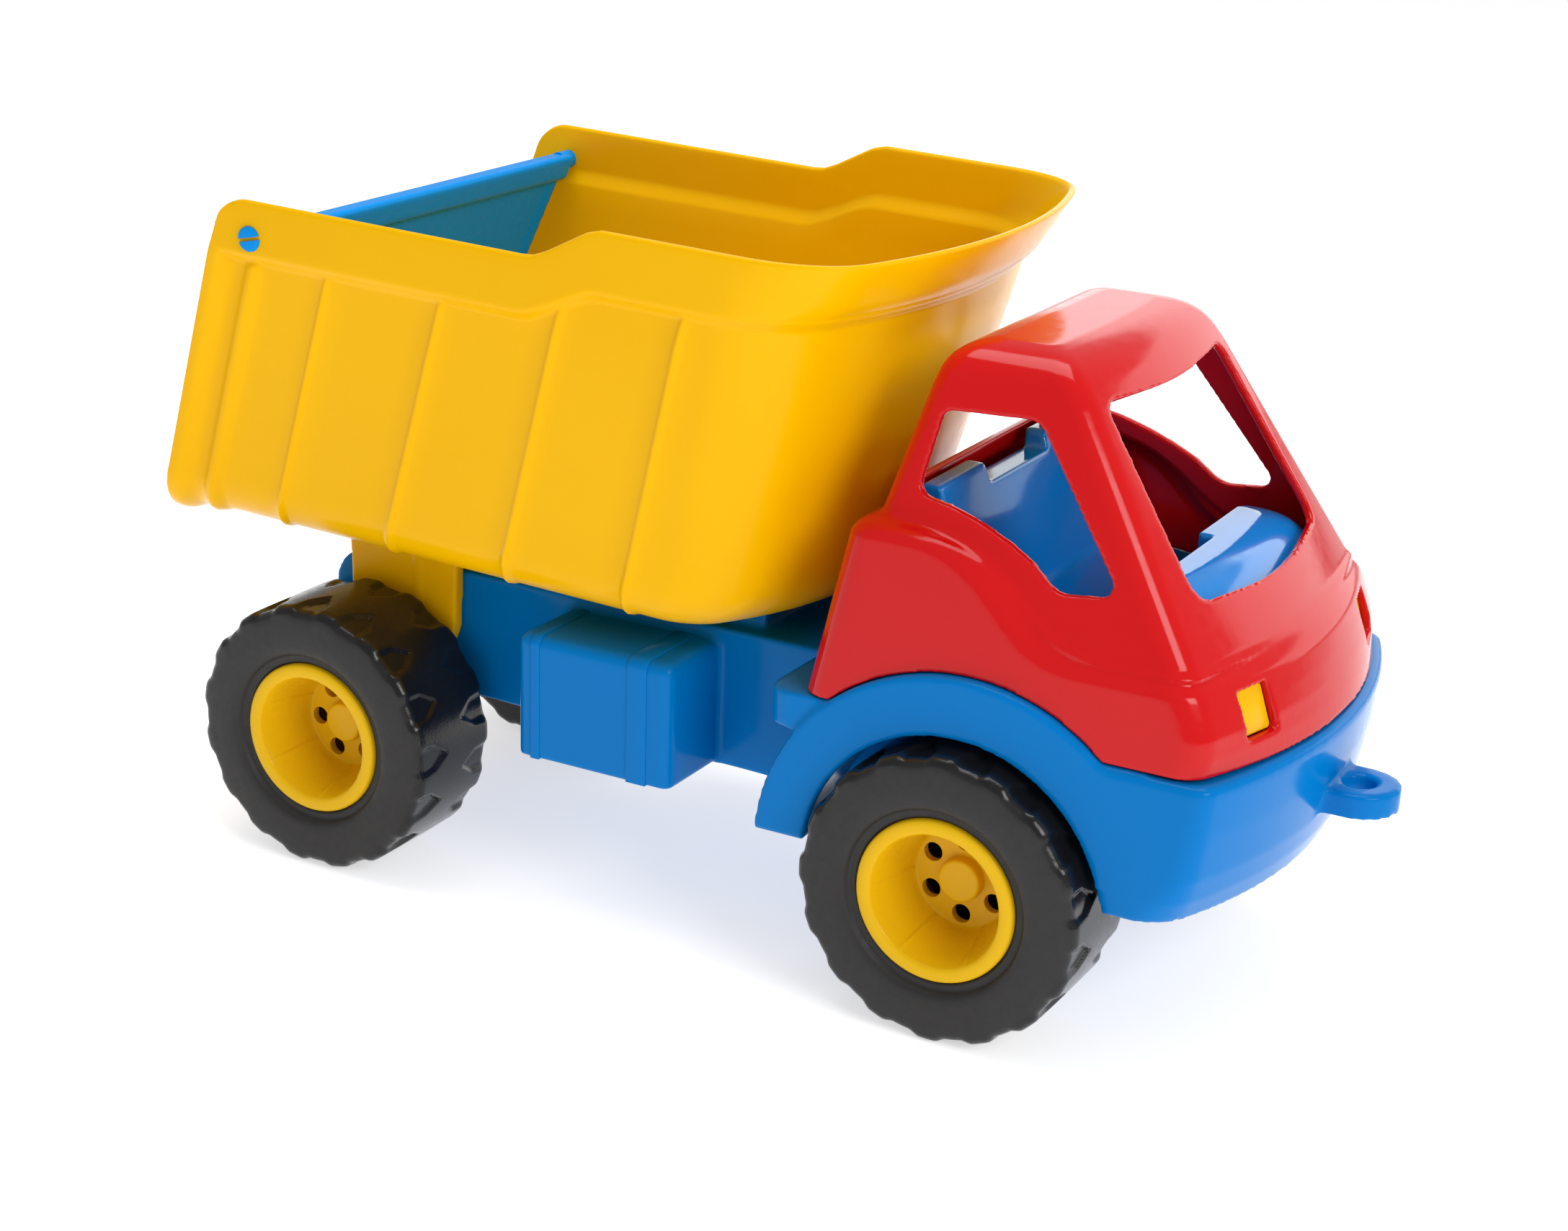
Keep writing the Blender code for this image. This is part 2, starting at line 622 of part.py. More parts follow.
def cab_ring(z_of, upper, inset, draw_in=0.0):
    """One closed level of the cab, from the middle of the back wall round the right side to the nose."""
    half = []
    mid = z_of(60.0)
    back, half_w, front, arc_r, rear_r, front_r = cab_plan(mid, upper)
    row = half_plan(back, half_w, front, arc_r, front_r, [], 0.0, 4, 5)
    corner_x = row[0][0]
    stations = [(back, -(half_w - rear_r) * f, -1.0, 0.0) for f in (0.0, 0.5)]
    for k in range(4):
        a = math.pi + math.pi / 2 * k / 3
        nx, ny = math.cos(a), math.sin(a)
        stations.append((back + rear_r + rear_r * nx, -(half_w - rear_r) + rear_r * ny, nx, ny))
    for k in range(1, CAB_SIDE):
        stations.append((back + rear_r + (corner_x - back - rear_r) * k / CAB_SIDE, -half_w, 0.0, -1.0))
    stations += row
    for x, y, nx, ny in stations:
        z = z_of(x)
        b2, w2, f2, _, _, _ = cab_plan(z, upper)
        shift = (x - back) / (front - back)
        xx = x + (b2 - back) * (1 - shift) + (f2 - front) * shift
        yy = y * w2 / half_w
        xx -= inset * nx
        middle = (b2 + f2) / 2
        xx = middle + (xx - middle) * (1 - 2 * draw_in / (f2 - b2))
        half.append((xx, (yy - inset * ny) * (1 - draw_in / w2), z))
    return mirrored_ring(half)


def mirrored_ring(half):
    return half + [(x, -y, z) for x, y, z in reversed(half[1:-1])]


def crease(x):
    return ramp(x, CREASE_X, CREASE_Z)


def crest(x):
    return ramp(x, CREST_X, CREST_Z)


def cab_levels(inset):
    rings = []
    for f in (0.0, 0.5, 1.0):
        rings.append(cab_ring(lambda x, f=f: CAB_Z + (crest(x) - CAB_Z) * f, False, inset))
    for f, extra in ((0.45, 0.8), (0.85, 2.4)):
        rings.append(cab_ring(lambda x, f=f: crest(x) + (crease(x) - crest(x)) * f, False, inset + extra))
    rings.append(cab_ring(lambda x: crease(x) + 0.4, True, inset - 0.9))
    rings.append(cab_ring(lambda x: crease(x) + 2.2, True, inset))
    rings.append(cab_ring(lambda x: (crease(x) + 2.2 + CAB_TOP[0]) / 2, True, inset))
    drop = inset * 0.85
    for z, extra in zip(CAB_TOP, CAB_TOP_IN):
        level = z - (drop if extra else 0.0)
        rings.append(cab_ring(lambda x, level=level: level, True, inset, extra))
    return rings


def build_cab(mat):
    verts = []
    loops = []
    sides = []
    for inset in (0.0, CAB_T):
        own = []
        for ring in cab_levels(inset):
            own.append(list(range(len(verts), len(verts) + len(ring))))
            verts += ring
        sides.append(own)
    n = len(sides[0][0])
    for own in sides:
        for low, high in zip(own, own[1:]):
            loops += [(low[i], low[(i + 1) % n], high[(i + 1) % n], high[i]) for i in range(n)]
        loops.append(tuple(own[-1]))
    outer, inner = sides[0][0], sides[1][0]
    loops += [(outer[i], outer[(i + 1) % n], inner[(i + 1) % n], inner[i]) for i in range(n)]
    cab = add("cab_shell", verts, loops, mat)
    cut(cab, disc("cab_arch", (FENDER_X, AXLE_Z), FENDER_R + GAP, (-90, 90), 72))
    cut(cab, prism("side_windows", rounded(SIDE_WINDOW, SIDE_WINDOW_R, 3), "y", -90, 90))
    cut(cab, prism("windscreen_opening", rounded(SCREEN, SCREEN_R, 3), "x", 108.0, 190.0))
    cut(cab, prism("rear_opening", rounded(REAR_WINDOW, 4, 3), "x", 40.0, 90.0))
    for side in (-1, 1):
        right, left = sorted((side * LAMP_HOLE_Y[0], side * LAMP_HOLE_Y[1]))
        low, high = LAMP_HOLE_Z
        corners = [(right, low), (left, low), (left, high), (right, high)]
        cut(cab, prism(f"lamp_opening_{side}", rounded(corners, 1.6, 3), "x", 150.0, 200.0))
    return cab


def build_headlights(mat):
    """A plate behind each opening, set to the slope and the sweep of the wall in front of it."""
    for side, name in ((-1, "headlight_right"), (1, "headlight_left")):
        verts = []
        for depth in (LAMP_SET, LAMP_SET + LAMP_T):
            for i, k in ((0, 0), (1, 0), (1, 1), (0, 1)):
                y, z = LAMP_Y[i], LAMP_Z[k]
                _, _, front, arc_r, _, _ = cab_plan(z, False)
                verts.append((front - arc_r + math.sqrt((arc_r - depth) ** 2 - y * y), side * y, z))
        faces = [(0, 1, 2, 3), (4, 5, 6, 7)] + [(i, (i + 1) % 4, 4 + (i + 1) % 4, 4 + i) for i in range(4)]
        add(name, verts, faces, mat)


def build_seats(mat):
    side = [(70.0, 100.0), (110.0, 100.0), (110.0, 114.0), (84.0, 117.0), (71.8, 158.6), (65.0, 158.6)]
    profile = rounded(side, [0, 3, 3, 4, 1.5, 1.5], 3)
    seats = prism("cab_seats", profile, "y", -52.5, 52.5, mat)
    step = [(-23.0, 170.0), (23.0, 170.0), (20.5, 152.6), (-20.5, 152.6)]
    cut(seats, prism("seat_gap", step, "x", 40.0, 130.0))
    return seats


def build_dash(mat):
    """A domed block under the windscreen, its rear edge further forward on the right-hand side."""
    levels = [
        (98.5, 56.0, 158.0, 300.0, 10.0),
        (127.0, 58.0, 156.8, 300.0, 12.0),
        (132.6, 57.0, 152.6, 300.0, 12.0),
        (136.2, 53.5, 147.5, 260.0, 12.0),
        (137.9, 46.0, 141.5, 220.0, 6.0),
    ]
    dash = loft_plan("cab_dash", levels, DASH_BACK, mat)
    return cut(dash, box("dash_step", (DASH_BACK - 9, DASH_STEP[1]), (-90, DASH_STEP[0]), (90, 150)))


# ---------------------------------------------------------------- wheels
TYRE_STEPS = 36


def build_tyre(name, x, side, mat):
    """A turned tyre with pointed recesses running in from both shoulders, staggered from side to side."""
    bore = RIM_R + GAP
    profile = [
        (bore, TYRE_IN), (41.0, TYRE_IN), (44.2, TYRE_IN + 1.2), (TYRE_R, TYRE_IN + 3.5),
        (TYRE_R, TYRE_OUT - 3.5), (44.2, TYRE_OUT - 1.2), (41.0, TYRE_OUT), (27.2, TYRE_OUT),
        (bore, TYRE_OUT - 1.2),
    ]
    tyre = lathe(name, profile, x, AXLE_Z, side, TYRE_STEPS, mat)
    verts = []
    faces = []
    pitch = 2 * math.pi / LUGS
    for end, shift in ((0, 0.0), (1, 0.5)):
        edge, mid, tip = ((TYRE_IN - 1, 55.0, 62.0), (TYRE_OUT + 1, 79.0, 72.0))[end]
        for k in range(LUGS):
            a = (k + shift) * pitch
            shape = [(-0.07, edge), (0.07, edge), (0.055, mid), (0.0, tip), (-0.055, mid)]
            base = len(verts)
            for r in (TYRE_R - 1.3, TYRE_R + 2):
                for da, y in shape:
                    verts.append((x + r * math.cos(a + da), y * side, AXLE_Z + r * math.sin(a + da)))
            faces += [tuple(base + i for i in range(5)), tuple(base + 5 + i for i in range(5))]
            low = [base + i for i in range(5)]
            faces += [(low[i - 1], low[i], low[i] + 5, low[i - 1] + 5) for i in range(5)]
    return cut(tyre, add(f"{name}_recesses", verts, faces))


def build_rim(name, x, side, mat):
    """Lip, barrel, deep dished cone and a closed hub that takes the axle end from inside."""
    deep = RIM_OUT - HUB_DEPTH
    profile = [
        (0.0, deep), (5.8, deep), (6.8, deep - 2.6), (15.4, deep - 2.6), (20.6, RIM_OUT - 1.6),
        (21.4, RIM_OUT), (24.8, RIM_OUT), (RIM_R, RIM_OUT - 0.7), (RIM_R, RIM_IN),
        (23.4, RIM_IN), (23.0, RIM_OUT - 4.0), (20.0, RIM_OUT - 4.4), (15.0, deep - 5.2), (6.2, deep - 5.2),
        (6.2, RIM_IN), (AXLE_R + GAP, RIM_IN), (AXLE_R + GAP, deep - 4.0), (0.0, deep - 4.0),
    ]
    rim = lathe(name, profile, x, AXLE_Z, side, 26, mat)
    y = sorted((side * (deep - 12), side * (deep + 4)))
    for k in range(RIM_HOLES):
        a = math.radians(90 + 360 * k / RIM_HOLES)
        centre = (x + RIM_HOLE_RING * math.cos(a), AXLE_Z + RIM_HOLE_RING * math.sin(a))
        cut(rim, disc(f"{name}_hole_{k}", centre, RIM_HOLE_R, y, 12))
    return rim


def build_wheels(rubber, plastic, steel):
    for end, x in (("front", FRONT_AXLE_X), ("rear", REAR_AXLE_X)):
        reach = RIM_OUT - HUB_DEPTH - 4.0 - GAP
        corners = [(0.0, -reach), (AXLE_R, -reach), (AXLE_R, reach), (0.0, reach)]
        ends = rounded(corners, [0, 0.6, 0.6, 0], 2)
        lathe(f"axle_{end}", ends, x, AXLE_Z, 1, 24, steel)
        for side, hand in ((-1, "right"), (1, "left")):
            build_tyre(f"tyre_{end}_{hand}", x, side, rubber)
            build_rim(f"rim_{end}_{hand}", x, side, plastic)


def build_pins(mat):
    for side, hand in ((-1, "right"), (1, "left")):
        head = LEG_Y[1] + GAP
        shank = [(0.0, 34.0), (PIVOT_R - 0.6, 34.0), (PIVOT_R, 34.6), (PIVOT_R, head)]
        profile = shank + [(6.4, head), (6.4, head + 0.9), (5.8, head + 1.5), (0.0, head + 1.5)]
        lathe(f"pivot_pin_{hand}", profile, PIVOT_X, PIVOT_Z, side, 24, mat)


BLUE = (0.0, 0.19, 0.60)
build_chassis(material("chassis_blue", BLUE, 0.28))
build_bed(material("bed_yellow", (0.93, 0.50, 0.0), 0.3))
build_tailgate(material("tailgate_blue", BLUE, 0.28))
build_cab(material("cab_red", (0.72, 0.008, 0.008), 0.25))
build_seats(material("seat_blue", BLUE, 0.3))
build_dash(material("dash_blue", BLUE, 0.3))
build_headlights(material("lamp_yellow", (0.95, 0.55, 0.0), 0.25))
build_wheels(
    material("tyre_black", (0.035, 0.034, 0.035), 0.55),
    material("rim_yellow", (0.75, 0.43, 0.01), 0.35),
    material("axle_steel", (0.5, 0.5, 0.52), 0.3),
)
build_pins(material("pin_blue", BLUE, 0.3))
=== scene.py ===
"""Looks of the toy tipper truck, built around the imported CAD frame.

Frame: +X is the front of the truck, +Y its left side, +Z up, ground at z = 0. Shapes are drawn in
millimetres, like the CAD, and scaled to metres when a mesh is made. Each moulded piece stands for one
CAD node, or for a part of one: it is drawn finer, its edges are rounded and it rides on that node's body.
"""

import math

import bmesh
import bpy
import numpy as np
from mathutils import Matrix, Vector


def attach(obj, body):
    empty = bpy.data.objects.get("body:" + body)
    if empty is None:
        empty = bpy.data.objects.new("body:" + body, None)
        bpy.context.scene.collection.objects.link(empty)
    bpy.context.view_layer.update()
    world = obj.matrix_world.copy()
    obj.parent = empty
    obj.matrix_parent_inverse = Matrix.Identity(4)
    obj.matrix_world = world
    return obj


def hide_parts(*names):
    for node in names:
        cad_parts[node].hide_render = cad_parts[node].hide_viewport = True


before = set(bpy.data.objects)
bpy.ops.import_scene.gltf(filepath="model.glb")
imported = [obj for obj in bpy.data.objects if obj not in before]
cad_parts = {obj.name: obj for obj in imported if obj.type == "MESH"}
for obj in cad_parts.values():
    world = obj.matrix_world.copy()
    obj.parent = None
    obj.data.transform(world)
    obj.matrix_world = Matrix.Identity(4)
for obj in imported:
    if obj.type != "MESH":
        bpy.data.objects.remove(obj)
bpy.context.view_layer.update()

MM = 0.001

# wheels
FRONT_AXLE_X = 92.0
REAR_AXLE_X = -134.0
AXLE_Z = 45.0
TYRE_R = 45.0
TYRE_IN = 47.0
TYRE_OUT = 87.0
TYRE_MID = (TYRE_IN + TYRE_OUT) / 2
TREAD_EDGE = 3.6
TREAD_TURNS = 24
RECESS_DEPTH = 1.3
RIM_R = 25.3
RIM_IN = 47.6
HUB_R = 6.9
RIM_OUT = 85.6
AXLE_R = 3.3
HUB_DEPTH = 18.0
LUGS = 16
RIM_HOLES = 6
RIM_HOLE_R = 3.0
RIM_HOLE_RING = 11.7
REAR_TURN = -35.0
RIM_TURNS = 240
RIDGE_H = 0.5
RIDGE_HALF = 0.75

# chassis
RAIL_Y = 39.5
WALL = 3.0
DECK_Z = 95.5
RAIL_BOTTOM_Z = 49.0
RAIL_SLOPE = 0.032
CHASSIS_BACK = -158.0
PLATFORM_BACK = 29.0
PLATFORM_FRONT = 150.0
PLATFORM_Z = 84.0
PLATFORM_Y = 76.0
ARCH_R = 47.8
FENDER_X = 93.6
FENDER_R = 66.3
FENDER_Y = 77.9
SKIRT_Z = 50.0
BUMPER_BACK = 118.0
BUMPER_EDGE = 2.6
# height, half width, nose, nose arc radius, corner radius
BUMPER = [
    (SKIRT_Z, 75.5, 174.8, 165.0, 16.0),
    (58.0, 77.0, 178.3, 188.0, 10.5),
    (66.0, 77.8, 180.6, 203.0, 7.5),
    (80.0, 77.9, 182.8, 206.0, 6.8),
    (DECK_Z - 0.5 - BUMPER_EDGE, 77.9, 184.0, 206.0, 6.4),
]
BOX_X = (-63.8, -7.1)
BOX_Y = 69.8
BOX_Z = (50.5, 91.6)
BOX_EDGE = 3.6
STRAPS = ((-58.2, -54.8), (-22.6, -15.4))
STRAP_H = 0.4
REST_X = (-7.4, 5.2)
REST_TOP = 102.2
TOW_X = 188.8
TOW_R = 12.3
TOW_HOLE_R = 5.0
TOW_Z = (68.0, 75.5)
TOW_BACK = 170.0

# bed, drawn upright and then leaned forward and tilted
LEAN = (0.3765, 0.24)
LEAN_U = (-90.0, 55.0)
LEAN_Z = 200.0
TILT = 0.034
TILT_X = -22.5
BED_BACK = -165.0
BED_FLOOR_Z = 103.5
BED_ARC = 18.0
BED_T = 2.8
LEDGE_W = 87.0
SIDE_TAPER = 0.14
FRONT_U = 51.5
FRONT_TAPER = -0.012
FRONT_R = (130.0, 215.0)
CORNER_R = 29.0
BAND = 3.25
FLARE = 7.0
TOP_LOW = 216.3
TOP_HIGH = 227.5
RAMP_U = (-49.5, -32.5)
REAR_ROUND = 9.0
REAR_EDGE = 1.3
LEDGE_LOW = 198.3
LEDGE_HIGH = 208.3
RIBS_U = (-119.5, -77.3, -36.5, 4.0)
RIB_H = 1.4
RIB_HALF = 2.3
FLUTE_U = -147.5
FLUTE_HALF = 5.0
FLUTE_H = 2.4
FRAME_U = (-162.0, -154.0)
STATION_STEP = 4.0

# legs that carry the bed on its tipping hinge
LEG_Y = (39.8, 44.6)
LEG_X = (-148.0, -104.0)
LEG_FOOT_Z = 65.0
LEG_RIB_X = (-121.0, -118.6)
LEG_RIB_Z = (80.0, 104.0)
LEG_RIB_H = 0.5

# tailgate, in the bed's upright drawing
GATE_U = -149.9
GATE_Z = 204.6
GATE_T = 2.6
GATE_PIN_R = 4.0
GATE_PIN_END = 91.5
PIN_SLOT = 1.1
GATE_BAR_HALF = 4.2
GATE_BAR_Z = (-7.0, 2.6)
GATE_FRAME = 4.0
GATE_GAP = 0.8
GATE_FIELD_DEPTH = 0.7
GATE_SILL = 0.5
GATE_SILL_U = -143.7

# cab
CAB_Z = 95.8
CAB_T = 3.4
CAB_SIDE = 36
# the roof's edge: height, and how far it has drawn in
CAB_TOP = (189.0, 193.5, 196.8, 199.2, 200.8, 201.8)
CAB_TOP_IN = (0.0, 0.4, 1.6, 4.0, 7.5, 12.0)
# the line where the greenhouse meets the shoulder, and the shoulder's outer edge below it
CREASE_X = (52.0, 66.0, 72.2, 78.3, 89.4, 98.7, 104.6, 110.3, 116.6, 121.0, 160.0)
CREASE_Z = (149.6, 150.0, 149.7, 148.9, 145.9, 139.7, 132.4, 126.2, 122.9, 121.9, 121.9)
CREST_X = (52.0, 64.0, 73.7, 83.0, 92.7, 99.1, 105.6, 112.0, 120.0, 160.0)
CREST_Z = (145.6, 146.0, 145.8, 143.4, 136.9, 128.9, 121.8, 118.6, 117.6, 117.6)
SIDE_WINDOW = [(73.2, 182.6), (103.0, 184.0), (135.0, 140.4), (118.0, 138.6), (114.2, 139.6), (107.0, 145.6),
               (99.0, 149.8), (90.5, 153.4), (81.0, 156.4), (69.0, 158.6)]
SIDE_WINDOW_R = [4.0, 7.0, 3.5, 2.0, 6.0, 14.0, 20.0, 30.0, 30.0, 4.0]
SCREEN = [(-44.8, 189.4), (0.0, 187.9), (44.8, 189.4), (49.5, 138.4), (0.0, 135.2), (-49.5, 138.4)]
SCREEN_R = [5.0, 400.0, 5.0, 6.0, 300.0, 6.0]
SCREEN_REACH = 14.0
SCREEN_NORMAL = (0.826, 0.564)
REAR_WINDOW = [(-45.0, 157.5), (45.0, 157.5), (38.0, 188.0), (-38.0, 188.0)]
LAMP_HOLE_Y = (40.4, 55.2)
LAMP_HOLE_Z = (102.6, 116.4)
LAMP_FACE = 1.9
DASH_BACK = 128.0
DASH_STEP = (12.0, 132.5)

# finish
CHASSIS_VOXEL = 1.0
CAB_VOXEL = 0.6
SMALL_VOXEL = 0.7


# ---------------------------------------------------------------- curves
def smooth(t):
    t = min(max(t, 0.0), 1.0)
    return t * t * (3 - 2 * t)


def ramp(x, xs, ys):
    return float(np.interp(x, xs, ys))


def soft_ramp(x, xs, ys, reach=3.0):
    """A ramp whose corners are rounded over the given reach."""
    return float(np.mean([ramp(x + reach * k / 4, xs, ys) for k in range(-4, 5)]))


def flow(x, xs, ys):
    """A smooth curve through the points, flat where they are flat and never past them."""
    if x <= xs[0] or x >= xs[-1]:
        return ys[0] if x <= xs[0] else ys[-1]
    steps = [(ys[i + 1] - ys[i]) / (xs[i + 1] - xs[i]) for i in range(len(xs) - 1)]
    slopes = [steps[0]]
    for last, following in zip(steps, steps[1:]):
        slopes.append(0.0 if last * following <= 0 else 2 * last * following / (last + following))
    slopes.append(steps[-1])
    i = int(np.searchsorted(xs, x, side="right")) - 1
    wide = xs[i + 1] - xs[i]
    t = (x - xs[i]) / wide
    start = (2 * t**3 - 3 * t**2 + 1) * ys[i] + (t**3 - 2 * t**2 + t) * wide * slopes[i]
    return start + (3 * t**2 - 2 * t**3) * ys[i + 1] + (t**3 - t**2) * wide * slopes[i + 1]


def rounded(points, radius, steps=8):
    """The outline with each corner turned by an arc. radius is one number or one per corner."""
    out = []
    n = len(points)
    for i in range(n):
        r = radius[i] if isinstance(radius, (list, tuple)) else radius
        here = Vector(points[i])
        to_last = Vector(points[i - 1]) - here
        to_next = Vector(points[(i + 1) % n]) - here
        room = 0.48 * min(to_last.length, to_next.length)
        to_last.normalize()
        to_next.normalize()
        half = to_last.angle(to_next) / 2
        if r <= 0 or half > math.pi / 2 - 0.004:
            out.append(tuple(here))
            continue
        r = min(r, room * math.tan(half))
        run = r / math.tan(half)
        centre = here + (to_last + to_next).normalized() * (r / math.sin(half))
        a = here + to_last * run - centre
        turn = a.angle_signed(here + to_next * run - centre)
        for k in range(steps + 1):
            spin = -turn * k / steps
            c, s = math.cos(spin), math.sin(spin)
            out.append((centre.x + a.x * c - a.y * s, centre.y + a.x * s + a.y * c))
    return out


def arc_points(r, y, radius, start, end, steps=8):
    """Points of an arc in the (radius, y) plane, from start to end in degrees."""
    turns = [math.radians(start + (end - start) * k / steps) for k in range(steps + 1)]
    return [(r + radius * math.cos(a), y + radius * math.sin(a)) for a in turns]


def half_plan(back, half_w, front, arc_r, corner_r, straight, corner_steps, arc_steps):
    """Points and outward normals of one half of a U-shaped plan, from the back of the -Y side to the nose."""
    arc_x = front - arc_r
    corner_y = -(half_w - corner_r)
    corner_x = arc_x + math.sqrt((arc_r - corner_r) ** 2 - corner_y**2)
    end = math.atan2(corner_y, corner_x - arc_x)
    out = [(u, -half_w, 0.0, -1.0) for u in straight]
    for k in range(corner_steps + 1):
        a = -math.pi / 2 + (end + math.pi / 2) * k / corner_steps
        nx, ny = math.cos(a), math.sin(a)
        out.append((corner_x + corner_r * nx, corner_y + corner_r * ny, nx, ny))
    for k in range(1, arc_steps + 1):
        a = end * (1 - k / arc_steps)
        nx, ny = math.cos(a), math.sin(a)
        out.append((arc_x + arc_r * nx, arc_r * ny, nx, ny))
    return out


def mirrored(half):
    """The whole row from one half: the last point lies on the centre plane."""
    return half + [(p[0], -p[1]) + tuple(p[2:]) for p in reversed(half[:-1])]


def mirrored_ring(half):
    """A closed ring from one half whose first and last points both lie on the centre plane."""
    return half + [(x, -y, z) for x, y, z in reversed(half[1:-1])]


# ---------------------------------------------------------------- meshes
def add(name, verts, faces):
    """A closed mesh object from millimetre points."""
    mesh = bpy.data.meshes.new(name)
    mesh.from_pydata([tuple(c * MM for c in v) for v in verts], [], faces)
    bm = bmesh.new()
    bm.from_mesh(mesh)
    bmesh.ops.remove_doubles(bm, verts=bm.verts, dist=1e-7)
    bmesh.ops.recalc_face_normals(bm, faces=bm.faces)
    bm.to_mesh(mesh)
    bm.free()
    obj = bpy.data.objects.new(name, mesh)
    bpy.context.scene.collection.objects.link(obj)
    return obj


def bands(rows, closed=False):
    """Quads between following rows of vertex numbers."""
    n = len(rows[0])
    faces = []
    for low, high in zip(rows, rows[1:]):
        for i in range(n if closed else n - 1):
            j = (i + 1) % n
            faces.append((low[i], low[j], high[j], high[i]))
    return faces


def prism(name, outline, axis, low, high):
    """An outline pushed along one axis. Outline points are (x, z), (x, y) or (y, z) in axis order."""
    place = {
        "x": lambda a, b, c: (c, a, b),
        "y": lambda a, b, c: (a, c, b),
        "z": lambda a, b, c: (a, b, c),
    }[axis]
    n = len(outline)
    verts = [place(a, b, low) for a, b in outline] + [place(a, b, high) for a, b in outline]
    ends = [tuple(range(n)), tuple(range(n, 2 * n))]
    return add(name, verts, ends + bands([list(range(n)), list(range(n, 2 * n))], True))


def box(name, x, y, z):
    return prism(name, [(x[0], y[0]), (x[1], y[0]), (x[1], y[1]), (x[0], y[1])], "z", z[0], z[1])


def disc(name, centre, radius, y, steps=48):
    turns = [2 * math.pi * k / steps for k in range(steps)]
    ring = [(centre[0] + radius * math.cos(a), centre[1] + radius * math.sin(a)) for a in turns]
    return prism(name, ring, "y", y[0], y[1])


def soft_box(name, x, y, z, edge):
    """A box whose upright edges, and the edges round its top, are turned by the edge radius."""
    rings = [(z[0], 0.0)]
    for k in range(7):
        a = math.pi / 2 * k / 6
        rings.append((z[1] - edge + edge * math.sin(a), edge * (1 - math.cos(a))))
    verts = []
    rows = []
    for level, inset in rings:
        low_x, high_x, low_y, high_y = x[0] + inset, x[1] - inset, y[0] + inset, y[1] - inset
        corners = [(low_x, low_y), (high_x, low_y), (high_x, high_y), (low_x, high_y)]
        ring = rounded(corners, max(edge - inset, 0.05), 6)
        rows.append([len(verts) + i for i in range(len(ring))])
        verts += [(a, b, level) for a, b in ring]
    return add(name, verts, bands(rows, True) + [tuple(rows[0]), tuple(rows[-1])])


def lathe(name, profile, side, turns, shape=None):
    """A closed (radius, y) profile turned about the Y axis. shape moves a point by radius, y and angle."""
    verts = []
    rings = []
    for r, y in profile:
        if r < 1e-6:
            rings.append([len(verts)] * turns)
            verts.append((0.0, y * side, 0.0))
            continue
        rings.append(list(range(len(verts), len(verts) + turns)))
        for k in range(turns):
            a = 2 * math.pi * k / turns
            rr, yy = shape(r, y, a) if shape else (r, y)
            verts.append((rr * math.cos(a), yy * side, rr * math.sin(a)))
    faces = []
    for i, here in enumerate(rings):
        there = rings[(i + 1) % len(rings)]
        if len(set(here)) == 1 and len(set(there)) == 1:
            continue
        for k in range(turns):
            corners = [here[k], here[(k + 1) % turns], there[(k + 1) % turns], there[k]]
            faces.append(tuple(c for j, c in enumerate(corners) if c != corners[j - 1]))
    return add(name, verts, faces)


def loft_plan(name, levels, back):
    """A solid between plan outlines: levels are (z, half width, front, arc radius, corner radius)."""
    rows = []
    verts = []
    for z, half_w, front, arc_r, corner_r in levels:
        half = half_plan(back, half_w, front, arc_r, corner_r, [back], 12, 24)
        row = mirrored([(p[0], p[1]) for p in half])
        rows.append([len(verts) + i for i in range(len(row))])
        verts += [(x, y, z) for x, y in row]
    return add(name, verts, bands(rows, True) + [tuple(rows[0]), tuple(rows[-1])])


def boolean(obj, other, operation):
    mod = obj.modifiers.new(other.name, "BOOLEAN")
    mod.operation = operation
    mod.solver = "MANIFOLD"
    mod.object = other
    return obj


def cut(obj, other):
    return boolean(obj, other, "DIFFERENCE")


def join(obj, other):
    return boolean(obj, other, "UNION")


def settle(obj):
    """Applies the modifiers and removes the objects that they used."""
    used = [m.object for m in obj.modifiers if m.type == "BOOLEAN"]
    bpy.context.view_layer.update()
    mesh = bpy.data.meshes.new_from_object(obj.evaluated_get(bpy.context.evaluated_depsgraph_get()))
    obj.modifiers.clear()
    obj.data = mesh
    for other in used:
        bpy.data.objects.remove(other, do_unlink=True)
    return obj


def moulded(obj, voxel, rounds):
    """Melts the sharp edges of a machined shape into the small radii of a moulding."""
    settle(obj)
    skin = obj.modifiers.new("skin", "REMESH")
    skin.mode = "VOXEL"
    skin.voxel_size = voxel * MM
    skin.use_smooth_shade = True
    soften = obj.modifiers.new("soften", "SMOOTH")
    soften.factor = 0.5
    soften.iterations = rounds
    return settle(obj)


def shaded(obj, degrees=35.0):
    """Smooth shading, with a sharp edge wherever the faces turn by more than the given angle."""
    obj.data.polygons.foreach_set("use_smooth", [True] * len(obj.data.polygons))
    obj.data.set_sharp_from_angle(angle=math.radians(degrees))
    return obj


def fit_out(obj, mat, body, nodes):
    """Gives a finished piece its material and its body, and hides the CAD nodes that it stands for."""
    obj.data.materials.clear()
    obj.data.materials.append(mat)
    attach(obj, body)
    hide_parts(*nodes)


# ---------------------------------------------------------------- bed
CORNER_STEPS = 14
ARC_STEPS = 22
FLOOR_STEPS = 9


